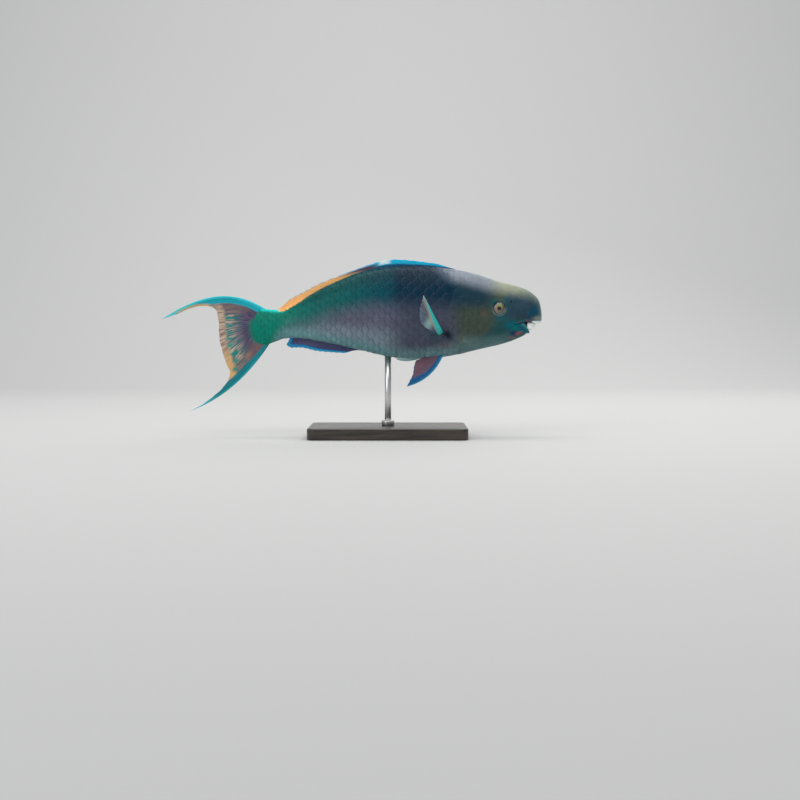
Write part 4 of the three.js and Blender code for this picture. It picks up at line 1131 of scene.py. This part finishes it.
dorsalLook = {"columns": 380, "rows": 26, "rays": 19, "fork": (0.45, 0.8), "forking": 0.3, "rayWide": 0.9,
              "rayHigh": 0.34, "root": 2.2, "web": 0.5, "ripple": 0.12, "scallop": 0.05, "bareRoot": 0,
              "rootX": (94, -152.5), "lean": (26, 1.2), "sunk": 5}
analLook = {"columns": 240, "rows": 30, "rays": 12, "fork": (0.4, 0.75), "forking": 0.6, "rayWide": 0.8,
            "rayHigh": 0.3, "root": 2.0, "web": 0.5, "ripple": 0.12, "scallop": 0.035, "bareRoot": 0,
            "rootX": (-36, -138), "lean": (24, 5), "sunk": 5}
tailLook = {"columns": 420, "rows": 96, "rays": 15, "fork": (0.22, 0.5), "forking": 1.0, "rayWide": 0.95,
            "rayHigh": 0.34, "root": 3.0, "web": 0.55, "ripple": 0.15, "scallop": 0.012, "bareRoot": 0.16,
            "rootX": (-172, -166), "rootZ": (179.2, 131), "rootBulge": 17, "upperBow": 24.5, "lowerBow": 12,
            "upperRay": 142.7, "lowerRay": 149.3, "scaleStep": 6.4}
pectoralLook = {"columns": 220, "rows": 60, "rays": 13, "fork": (0.3, 0.6), "forking": 0.9, "rayWide": 0.75,
                "rayHigh": 0.3, "root": 3.0, "web": 0.5, "ripple": 0.2, "scallop": 0.02, "bareRoot": 0.05,
                "rootX": (78.4, 71), "rootZ": (142.2, 141.4), "sunk": 5,
                "tips": [(48.4, 76, 196.4), (45.6, 81, 187.4), (42.8, 79, 174), (44.6, 71, 160.6),
                         (53, 60, 152.4), (64, 48, 147)]}
pelvicLook = {"columns": 130, "rows": 60, "rays": 6, "fork": (0.3, 0.6), "forking": 0.9, "rayWide": 0.9,
              "rayHigh": 0.34, "root": 2.6, "web": 0.5, "ripple": 0.15, "scallop": 0.012, "bareRoot": 0.05,
              "rootX": (78, 60), "rootOut": (9.5, 5.5), "sunk": 5, "bowWay": (0.6, 0, -0.8),
              "rightBow": 9, "leftBow": 1.2,
              "rightTips": [(25.9, 24, 71.5), (30.2, 21, 79.8), (34.6, 17, 89), (36, 13, 98.4),
                            (38.8, 9, 107.2)],
              "leftTips": [(10.6, 11, 109.6), (14, 10, 107.4), (20, 9, 106.2), (28, 7.6, 106),
                           (38, 6, 107.6)]}


def coverBoth(paint, lineTint, *coats):
    # lay the same inks, each with its mask, over the paint and over the tint of the fine lines
    return lay(paint, ink, *coats), lay(lineTint, ink, *coats)


def outOfBody(v):
    # roots first rise straight out of the back by the sunk depth, then the rays lean
    return np.maximum(0, (v - 0.2) / 0.8), np.minimum(0, v / 0.2 - 1)


dorsalHeightAt = curveThrough([(94, 4), (68, 4.6), (17, 8.4), (-3, 9.2), (-45, 5.9), (-80, 7.6),
                               (-104, 9.4), (-128, 10.2), (-138.6, 9.8), (-145.6, 6.4), (-150, 3.2),
                               (-153, 1.2), (-155.5, 0.8)])
analDepthAt = curveThrough([(-36, 0.6), (-58, 8.4), (-83, 12.7), (-102, 14.2), (-120, 12.9), (-134, 13.6),
                            (-138.5, 12.2), (-141.5, 9.4), (-143.5, 6)])


def dorsalPlace(u, v):
    risen, sunk = outOfBody(v)
    x = mix(*dorsalLook["rootX"], u) - mix(*dorsalLook["lean"], smooth(0.66, 1, u)) * risen
    return np.stack([x, middleAt(x), backAt(x) + dorsalLook["sunk"] * sunk + dorsalHeightAt(x) * risen], -1)


def analPlace(u, v):
    risen, sunk = outOfBody(v)
    x = mix(*analLook["rootX"], u) - mix(*analLook["lean"], u ** 2) * risen
    return np.stack([x, middleAt(x), bellyAt(x) - analLook["sunk"] * sunk - analDepthAt(x) * risen], -1)


def dorsalPaint(at):
    # cyan over blue in front with a white glint, red under pale blue in the middle, orange behind
    x, points = at["x"], at["points"]
    high = (at["z"] - backAt(x)) / np.maximum(dorsalHeightAt(x), 1)
    wander = cloud(points, 14, 31)
    front = lay(ink["cyan"] + 0 * points, ink, ("blue", smooth(0.4, 0.16, high)),
                ("glint", smooth(11, 5, np.abs(x + 5)) * smooth(0.3, 0.5, high) * 0.95))
    back = lay(ink["orange"] + 0 * points, ink,
               ("orangeRed", smooth(0.55, 0.3, high + 0.12 * wander) * 0.4 * smooth(-130, -70, x)),
               ("baseGreen", smooth(0.14, 0.02, high) * 0.8 * smooth(-130, -108, x)),
               ("topBlue", smooth(0.84, 0.96, high) * smooth(-152, -136, x)))
    middle = lay(ink["finRed"] + 0 * points, ink, ("topBlue", smooth(0.6, 0.8, high)),
                 ("cyan", smooth(0.66, 0.86, high) * smooth(-40, -16, x)))
    orangeShare = smooth(-34, -70, x + 30 * (high - 0.4) + 4 * wander)
    paint = cover(cover(front, middle, smooth(-8, -24, x)), back, orangeShare)
    return paint, mix(paint * 1.12, ink["orangeRed"], 0.22 * orangeShare[..., None])


def analPaint(at):
    # purple with a mauve haze; a blue and a cyan band follow the free rim
    x = at["x"]
    rim = np.minimum(at["fromEdge"], at["fromLast"] * 1.2)
    paint = lay(ink["analPurple"] + 0 * at["points"], ink,
                ("analMauve", blot(x, at["z"], -116, 129, 18, 4.5) * 0.8),
                ("analBlue", smooth(8.6, 6.2, rim)),
                ("analCyan", smooth(6.2, 3.8, rim) * (0.65 + 0.35 * smooth(-118, -96, x))))
    return paint, mix(paint, ink["analMauve"], 0.35 * smooth(2.6, 5, rim)[..., None])


tailEdge = splineThrough([
    (-318.2, 164.6), (-297.5, 171.5), (-278.5, 179.8), (-259.4, 183.3), (-244.2, 179.8), (-239, 163.8),
    (-237.4, 135.8), (-230.3, 108.6), (-223.3, 86.8), (-232.7, 69.3), (-261.9, 45.2), (-279.7, 35.3)])


def tailPlace(u, v):
    # rays fan out from a bulging root to the crescent edge; both lobes' rays are bowed like their margins
    rootX = mix(*tailLook["rootX"], u) - tailLook["rootBulge"] * np.sin(math.pi * u)
    rootZ = mix(*tailLook["rootZ"], u)
    tip = tailEdge(u)
    alongX, alongZ = tip[..., 0] - rootX, tip[..., 1] - rootZ
    length = np.hypot(alongX, alongZ)
    upward = u < 0.5
    turn = np.where(upward, 1, -1)
    fade = smooth(0.12, 0.45, np.abs(1 - 2 * u))
    most = np.where(upward, tailLook["upperBow"], tailLook["lowerBow"])
    outer = np.where(upward, tailLook["upperRay"], tailLook["lowerRay"])
    size = most * (length / outer) ** 0.8
    bow = size * fade * (1 + np.where(upward, 0.4, -0.2) * (0.4 - v)) * 4 * v * (1 - v)
    x = rootX + alongX * v + turn * alongZ / length * bow
    z = rootZ + alongZ * v - turn * alongX / length * bow
    return np.stack([x, middleAt(x), z], -1)


def lineFar(points, line):
    # distance in the side view from every point to the nearest point of a line
    far = np.full(points.shape[:-1], 1e9)
    for x, z in line[:, [0, 2]]:
        far = np.minimum(far, (points[..., 0] - x) ** 2 + (points[..., 2] - z) ** 2)
    return np.sqrt(far)


# places, half lengths and half heights of the spots along the tail's margin; each points away from the stem
tailSpots = [(-223.2, 166.6, 5.0, 2.2), (-223.2, 155.4, 4.6, 2.0), (-223.6, 146.3, 4.6, 1.9),
             (-223.6, 137.8, 5.0, 2.0), (-221.9, 128.1, 5.4, 3.2), (-215.5, 117.3, 5.6, 3.0),
             (-214.2, 106.5, 4.6, 3.4), (-215.5, 94.5, 4.2, 3.4)]


def stemEnd(at, top, wander):
    # where the stem's green ends: a rounded square whose upper rear corner is cut, feathered along the rays
    x, z = at["x"], at["z"]
    cut = 1 + ((z - 174.7) * 0.836 - (x + 174.6) * 0.547) / 20
    border = np.maximum(stemShare(x, z), cut) + 0.05 * wander + 0.07 * cloud(at["points"], 3.5, 34)
    share = smooth(1.12, 0.9, border - 0.06 * (at["rays"] - 0.3)) * smooth(2, 5, top)
    # its scale edges: wavy lines across, each wave half a step beside the last
    step = tailLook["scaleStep"]
    column = x / step + 0.2 * np.cos(2 * math.pi * z / 7 + math.pi * np.floor(x / step))
    return ink["tailGreen"] * (1 - 0.22 * bell(column % 1, 0.5, 0.1))[..., None], share[..., None]


def tailPaint(at):
    u, x, z, points = at["u"], at["x"], at["z"], at["points"]
    wander = cloud(points, 9, 33)
    edge, top, low = (lineFar(points, line) for line in (points[:, -1], points[0], points[-1]))
    around = np.hypot(x + 150, (z - 155) * 1.1)
    upper, lower = smooth(168, 178, z), smooth(0.8, 0.9, u)
    # purple next to the stem, then a mauve web, a pale tan margin and peach below
    rusty = smooth(30, 12, low) * (u > 0.5)
    paint = lay(ink["tailPurple"] + 0 * points, ink, ("tailWeb", smooth(50, 66, around + 5 * wander)),
                ("tailTeal", smooth(40, 22, edge + 6 * wander) * (1 - upper) * (1 - lower) * 0.6),
                ("tailMauve", upper * smooth(44, 58, around)), ("tailMauve", rusty * 0.7))
    lineTint = cover(ink["tailLilac"] + 0 * points, ink["tailTan"], smooth(54, 76, around + 4 * wander))
    lineTint = cover(lineTint, ink["tailMauve"] * 0.8, upper * 0.8)
    lineTint = cover(lineTint, ink["tailRust"], rusty * 0.7)
    margin = smooth(12.5, 6.5, edge + 1.5 * wander) * smooth(0.22, 0.32, u) * smooth(0.96, 0.86, u)
    warm = smooth(0.5, 0.66, u)[..., None]
    paint = cover(paint, mix(ink["tailTan"], ink["tailPeach"], 0.85 * warm), margin)
    lineTint = cover(lineTint, mix(ink["tailLilac"], ink["tailPeach"], 0.3 + 0.6 * warm), margin)
    for spotX, spotZ, long, high in tailSpots:
        mark = blot(x, z, spotX, spotZ, long, high, math.atan2(spotZ - 150, spotX + 130))
        paint, lineTint = cover(paint, ink["tailSpot"], mark), cover(lineTint, ink["tailSpot"], mark * 0.9)
    # both lobes' outer bands, with a bright line along them, along the upper lobe a painted highlight, peach
    # at the upper edge, and pale tips
    behindStem = smooth(-158, -166, x)
    thinTop = smooth(-240, -262, x) * (u < 0.5)
    topBand = np.maximum(smooth(10.8, 8.6, top + 0.5 * wander) * (u < 0.6), thinTop * smooth(1.2, 3, edge))
    topBand = topBand * behindStem
    lowWide = mix(5.5, 10, smooth(128, 96, z))
    lowBand = np.maximum(smooth(1.4, -1.4, low + 0.6 * wander - lowWide), smooth(76, 62, z)) * (u > 0.5)
    paint = cover(cover(paint, ink["tailCyan"], topBand), ink["tailLow"], lowBand)
    lineTint = cover(cover(lineTint, ink["tailCyan"] * 1.15, topBand), ink["tailLow"] * 1.2, lowBand)
    peach = smooth(4.5, 2.0, edge) * smooth(-246, -256, x) * smooth(-308, -290, x) * (u < 0.5)
    topHighlight = smooth(4.2, 1.4, top) * (u < 0.6) * behindStem
    lowLine = smooth(3.4, 1.2, low) * (u > 0.5) * smooth(-176, -190, x)
    tips = np.maximum(smooth(34, 10, np.hypot(x + 319, z - 164)), smooth(52, 10, np.hypot(x + 281, z - 36)))
    paint, lineTint = coverBoth(paint, lineTint, ("tailPeach", peach * 0.8), ("tailBright", topHighlight * 0.8),
                                ("tailLowBright", lowLine * 0.8), ("tailTip", tips * 0.7))
    stemTint, share = stemEnd(at, top, wander)
    return mix(paint, stemTint, share), mix(lineTint, stemTint, share)


def pectoralPlace(side):
    tips = splineThrough([(x, side * out, z) for x, out, z in pectoralLook["tips"]])

    def place(u, v):
        # straight rays from a line in the flank to the spline through the tips
        x, z = mix(*pectoralLook["rootX"], u), mix(*pectoralLook["rootZ"], u)
        root = np.stack([x, side * (flankAt(x, z) - pectoralLook["sunk"]), z], -1)
        return mix(root, tips(u), v[..., None])

    return place


def pectoralPaint(at):
    # behind the cyan leading band a pale and a tan line, then a lilac web with a white patch low down
    v, x = at["v"], at["x"]
    wander = cloud(at["points"], 10, 35)
    first = at["fromFirst"] + 0.5 * wander
    paint = ink["pecLilac"] + 0 * at["points"]
    lineTint = mix(paint, ink["pecPale"], 0.35)
    white = blot(x, at["z"], 56, 158.5, 12, 6, 1.05)
    paint, lineTint = cover(paint, ink["pecPale"], white * 0.9), cover(lineTint, ink["pecPale"], white)
    cyanWide = mix(11.5, 1.6, v)
    tan = bell(first, cyanWide + 4.6, 1.3) * smooth(0.3, 0.5, v)
    pale = smooth(cyanWide + 3.6, cyanWide + 2.2, first)
    lead = smooth(cyanWide + 0.8, cyanWide - 0.8, first)
    glint = bell(first, 0.55 * cyanWide, 0.25 * cyanWide) * 0.6
    below = smooth(5, 1.5, at["fromLast"] + wander) * smooth(57, 64, x)
    base = smooth(0.2, 0.04, v) * 0.7
    tip = smooth(0.7, 0.86, v)
    return coverBoth(paint, lineTint, ("pecOrange", tan * 0.85), ("pecPale", pale * 0.75),
                     ("pecCyan", lead * (1 - 0.8 * tip)), ("pecGlint", lead * glint * (1 - tip)),
                     ("pecBase", np.maximum(below, base)))


def pelvicPlace(side, tipPoints, bow):
    tips = splineThrough([(x, side * out, z) for x, out, z in tipPoints])

    def place(u, v):
        # rays from a line in the belly to the spline through the tips, the first ones bowed forwards and down
        x = mix(*pelvicLook["rootX"], u)
        root = np.stack([x, side * mix(*pelvicLook["rootOut"], u), bellyAt(x) + pelvicLook["sunk"]], -1)
        swing = (bow * (1 - u) * 4 * v * (1 - v))[..., None] * np.array(pelvicLook["bowWay"])
        return mix(root, tips(u), v[..., None]) + swing

    return place


def pelvicPaint(at):
    # dull red with a blue front part and a bright leading edge, painted as a highlight line
    u, v, points = at["u"], at["v"], at["points"]
    paint = ink["pelvicRed"] + 0 * points
    lineTint = mix(paint, ink["pelvicRust"], (0.5 + 0.3 * v)[..., None])
    blue = np.maximum(smooth(0.4, 0.24, u + 0.05 * cloud(points, 6, 37)), smooth(0.93, 1.0, v) * 0.6)
    edge = smooth(3.0, 1.0, at["fromFirst"]) * 0.8
    return coverBoth(paint, lineTint, ("pelvicBlue", blue), ("pelvicEdge", edge))


def leftPelvicPaint(at):
    # pale, with an orange root half: only a strip of it shows under the belly, its pale raised to near white
    # as painted light against the shade there, over its own pale colour
    paint = cover(ink["pelvicPale"] + 0 * at["points"], ink["orange"], smooth(0.64, 0.48, at["v"]))
    return paint, paint * 0.9


def buildFins():
    thin = finFinish("finWeb", 0.28)
    buildFin("fin_dorsal", dorsalPlace, dorsalLook, dorsalPaint, thin, "fin_orange",
             "dorsal_fin_spiny", "dorsal_fin_soft")
    buildFin("fin_anal", analPlace, analLook, analPaint, thin, "fin_blue", "anal_fin")
    buildFin("fin_tail", tailPlace, tailLook, tailPaint, thin, "fin_tail", "tail_fin_upper_lobe",
             "tail_fin_upper_tip", "tail_fin_middle", "tail_fin_lower_lobe", "tail_fin_lower_tip")
    for side, word in ((-1, "right"), (1, "left")):
        buildFin("fin_pectoral_" + word, pectoralPlace(side), pectoralLook, pectoralPaint, thin, "fin_blue",
                 "pectoral_fin_" + word)
    rightPlace = pelvicPlace(-1, pelvicLook["rightTips"], pelvicLook["rightBow"])
    leftPlace = pelvicPlace(1, pelvicLook["leftTips"], pelvicLook["leftBow"])
    buildFin("fin_pelvic_right", rightPlace, pelvicLook, pelvicPaint, thin, "fin_red", "pelvic_fin_right")
    buildFin("fin_pelvic_left", leftPlace, pelvicLook, leftPelvicPaint, thin, "fin_red", "pelvic_fin_left")


# Stand: a smooth wooden base, a brushed rod and its collar

standLook = {"long": 220, "wide": 130, "high": 16, "corner": 10, "round": 2.2, "rodRadius": 4.5,
             "collarRadius": 9, "collarLow": 16.3, "collarHigh": 23.3, "sides": 64}


def woodFinish():
    # dark grain along the base, with fine pores in the varnish
    shader = Shader("darkWood")
    stretch = shader.add("Mapping", {"Vector": shader.place}, Scale=(7, 90, 90))
    grain = shader.noise(2.4, 6, stretch, Roughness=0.62, Distortion=0.5)
    pores = shader.noise(15, 3, stretch)
    ramp = shader.add("ValToRGB", {"Fac": grain})
    dark, pale = ramp.color_ramp.elements
    dark.position, dark.color = 0.36, (0.008, 0.0055, 0.004, 1)
    pale.position, pale.color = 0.7, (0.05, 0.034, 0.022, 1)
    gloss = shader.spread(pores, 0.28, 0.42, 0.35, 0.65)
    body = shader.add("BsdfPrincipled", {"Base Color": ramp, "Roughness": gloss,
                                         "Normal": shader.bump(pores, 0.12, 0.0003)},
                      Coat_Weight=0.3, Coat_Roughness=0.15)
    return shader.finish(body)


def steelFinish():
    # brushed round the rod: noise stretched round the axis
    shader = Shader("brushedSteel")
    brush = shader.noise(1, 4, shader.add("Mapping", {"Vector": shader.place}, Scale=(30, 30, 2600)))
    body = shader.add("BsdfPrincipled", {"Roughness": shader.spread(brush, 0.22, 0.4),
                                         "Normal": shader.bump(brush, 0.08, 0.0002)},
                      Base_Color=(0.62, 0.62, 0.61, 1), Metallic=1.0)
    return shader.finish(body)


def turned(profile):
    # a closed solid of revolution about the Z axis: the profile is a list of radius and height, poles added
    sides = standLook["sides"]
    radius, high = np.array(profile).T
    angle = np.linspace(0, 2 * math.pi, sides, endpoint=False)
    points = np.stack([radius[:, None] * np.cos(angle), radius[:, None] * np.sin(angle),
                       high[:, None] + 0 * angle], -1).reshape(-1, 3)
    points = np.concatenate([points, [[0, 0, high[0]], [0, 0, high[-1]]]])
    # the unwrap: the side above, the two end discs below it
    step = runAlong(np.array(profile), 0)
    sideUv = cellUv(0.2 + 0.78 * step / step[-1], 0.01 + 0.98 * np.arange(sides + 1) / sides)[:, ::-1]
    after = np.roll(angle, -1)
    caps = []
    for middle, first, second in ((0.1, after, angle), (0.32, angle, after)):
        corners = [np.stack([middle + 0.09 * size * np.cos(part), 0.1 + 0.085 * size * np.sin(part)], -1)
                   for size, part in ((0, angle), (1, first), (1, second))]
        caps.append(np.stack(corners, 1).reshape(-1, 2))
    return points, tubeFaces(len(profile), sides), np.concatenate([sideUv, *caps])


def roundedOutline(inset):
    # the base's outline, drawn in by inset: a rectangle with quarter-circle corners, seen counter-clockwise
    corner = standLook["corner"]
    halfX, halfY = standLook["long"] / 2 - corner, standLook["wide"] / 2 - corner
    sides = standLook["sides"]
    angle = np.linspace(0, 2 * math.pi, sides, endpoint=False) + math.pi / sides
    radius = corner - inset
    sideX = np.sign(np.cos(angle)) * halfX
    sideY = np.sign(np.sin(angle)) * halfY
    return np.stack([sideX + radius * np.cos(angle), sideY + radius * np.sin(angle)], -1)


def baseShape():
    # outlines from the lower to the upper edge, both rounded by a quarter circle
    sides, high, rounding = standLook["sides"], standLook["high"], standLook["round"]
    arc = np.linspace(0, math.pi / 2, 7)
    insets = np.concatenate([rounding * (1 - np.sin(arc)), rounding * (1 - np.cos(arc))])
    heights = np.concatenate([rounding * (1 - np.cos(arc)), high - rounding * (1 - np.sin(arc))])
    rings = np.stack([np.concatenate([roundedOutline(inset), np.full((sides, 1), z)], 1)
                      for inset, z in zip(insets, heights)])
    points = np.concatenate([rings.reshape(-1, 3), [[0, 0, 0], [0, 0, high]]])
    faces = tubeFaces(len(rings), sides)
    # the unwrap: the top plate in the upper part, the bottom in the lower part, the sides in a strip between
    around = runAlong(np.concatenate([rings[6], rings[6][:1]]), 0)
    sideUv = cellUv(0.46 + 0.08 * np.linspace(0, 1, len(rings)), 0.01 + 0.98 * around / around[-1])[:, ::-1]
    plate = np.stack([0.5 + points[:, 0] / 224 * 0.74, points[:, 1] / 224 * 0.74], -1)
    caps = [(plate[part] + [0, v]).reshape(-1, 2) for part, v in zip(faces[1:], (0.23, 0.77))]
    return points, faces, np.concatenate([sideUv, *caps])


def putSolid(name, shape, material, slot):
    points, faces, uv = shape
    return putMesh(name, points, faces, material, slot, uv=uv)


def buildStand():
    base = putSolid("base_wood", baseShape(), woodFinish(), "stand_wood")
    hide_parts("stand_base")
    steel = steelFinish()
    radius, high = standLook["rodRadius"], standLook["high"]
    rodTop = float(bellyAt(0)) + 2.5
    profile = [(radius - 0.4, high + 0.3), (radius, high + 0.7), (radius, 60), (radius, rodTop)]
    rod = putSolid("rod_steel", turned(profile), steel, "stand_steel")
    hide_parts("stand_rod")
    outer, low, up = standLook["collarRadius"], standLook["collarLow"], standLook["collarHigh"]
    bevel = [(outer - 1 + math.sin(a), up - 1 + math.cos(a)) for a in np.linspace(math.pi / 2, 0, 6)]
    profile = [(outer - 0.5, low), (outer, low + 0.5), *bevel, (radius + 0.9, up), (radius + 0.25, up - 0.6)]
    collar = putSolid("collar_steel", turned(profile), steel, "stand_steel")
    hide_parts("stand_collar")
    print("stand: base, rod and collar")


# Floor, light and camera

def buildStage():
    # a sweep: flat floor, then a quarter circle up into a flat back; the profile runs along Y
    sweep = {"front": -4200, "bendStart": 1500, "radius": 1400, "top": 4200, "half": 5200}
    arc = np.linspace(0, math.pi / 2, 25)
    flat = np.linspace(sweep["front"], sweep["bendStart"], 20)[:-1]
    wall = sweep["bendStart"] + sweep["radius"]
    y = np.concatenate([flat, sweep["bendStart"] + sweep["radius"] * np.sin(arc), [wall]])
    z = np.concatenate([0 * flat, sweep["radius"] * (1 - np.cos(arc)), [sweep["top"]]])
    across = np.linspace(-sweep["half"], sweep["half"], 9)
    points = np.stack(np.broadcast_arrays(across[None], y[:, None], z[:, None]), -1)
    shader = Shader("paleFloor")
    bump = shader.bump(shader.noise(240), 0.04, 0.0005)
    body = shader.add("BsdfPrincipled", {"Normal": bump}, Base_Color=(0.5, 0.5, 0.49, 1), Roughness=0.8)
    faces = gridFaces(len(y), len(across))[:, ::-1]
    floor = putMesh("floor", points.reshape(-1, 3), [faces], shader.finish(body), None)


def lookAt(obj, target):
    away = obj.location - mathutils.Vector(target)
    obj.rotation_euler = away.to_track_quat("Z", "Y").to_euler()


lights = {
    "top": {"at": (0.1, -0.5, 1.9), "aim": (0, 0, 0.16), "size": 2.2, "power": 29, "tone": (1, 0.99, 0.97)},
    "front": {"at": (-1.9, -1.9, 1.3), "aim": (0, 0, 0.16), "size": 1.8, "power": 22,
              "tone": (0.96, 0.98, 1)},
    "rim": {"at": (0.9, 1.3, 1.5), "aim": (0, 0, 0.2), "size": 1.2, "power": 9, "tone": (1, 1, 1)},
    "wall": {"at": (0, 0.7, 3.0), "aim": (0, 2.9, 1.5), "size": 2.6, "power": 58, "tone": (1, 1, 1)}}
view = {"at": (0.0168, -1.8644, 0.1495), "pitch": 3.0, "lens": 60.0, "sensor": 36.0}


def buildLight():
    for name, values in lights.items():
        lamp = bpy.data.lights.new(name + "Light", "AREA")
        lamp.shape = "SQUARE"
        lamp.size = values["size"]
        lamp.energy = values["power"]
        lamp.color = values["tone"]
        obj = bpy.data.objects.new(name + "Light", lamp)
        obj.location = values["at"]
        bpy.context.scene.collection.objects.link(obj)
        lookAt(obj, values["aim"])
    world = bpy.data.worlds.new("studio")
    world.use_nodes = True
    world.node_tree.nodes["Background"].inputs["Color"].default_value = (0.93, 0.96, 1.0, 1)
    world.node_tree.nodes["Background"].inputs["Strength"].default_value = 0.5
    bpy.context.scene.world = world
    bpy.context.scene.view_settings.view_transform = "Standard"


def buildCamera():
    camera = bpy.data.cameras.new("camera")
    camera.lens = view["lens"]
    camera.sensor_width = view["sensor"]
    camera.clip_start, camera.clip_end = 0.05, 30
    obj = bpy.data.objects.new("camera", camera)
    obj.location = view["at"]
    obj.rotation_euler = (math.radians(90 - view["pitch"]), 0, 0)
    bpy.context.scene.collection.objects.link(obj)
    bpy.context.scene.camera = obj


buildSkin()
buildScales(skinFinish("parrotfishScales", 0.4, 0.06, scaleMarks=True))
buildBeaks(beakFinish())
buildEyes()
buildFins()
buildStand()
buildStage()
buildLight()
buildCamera()
print("done")
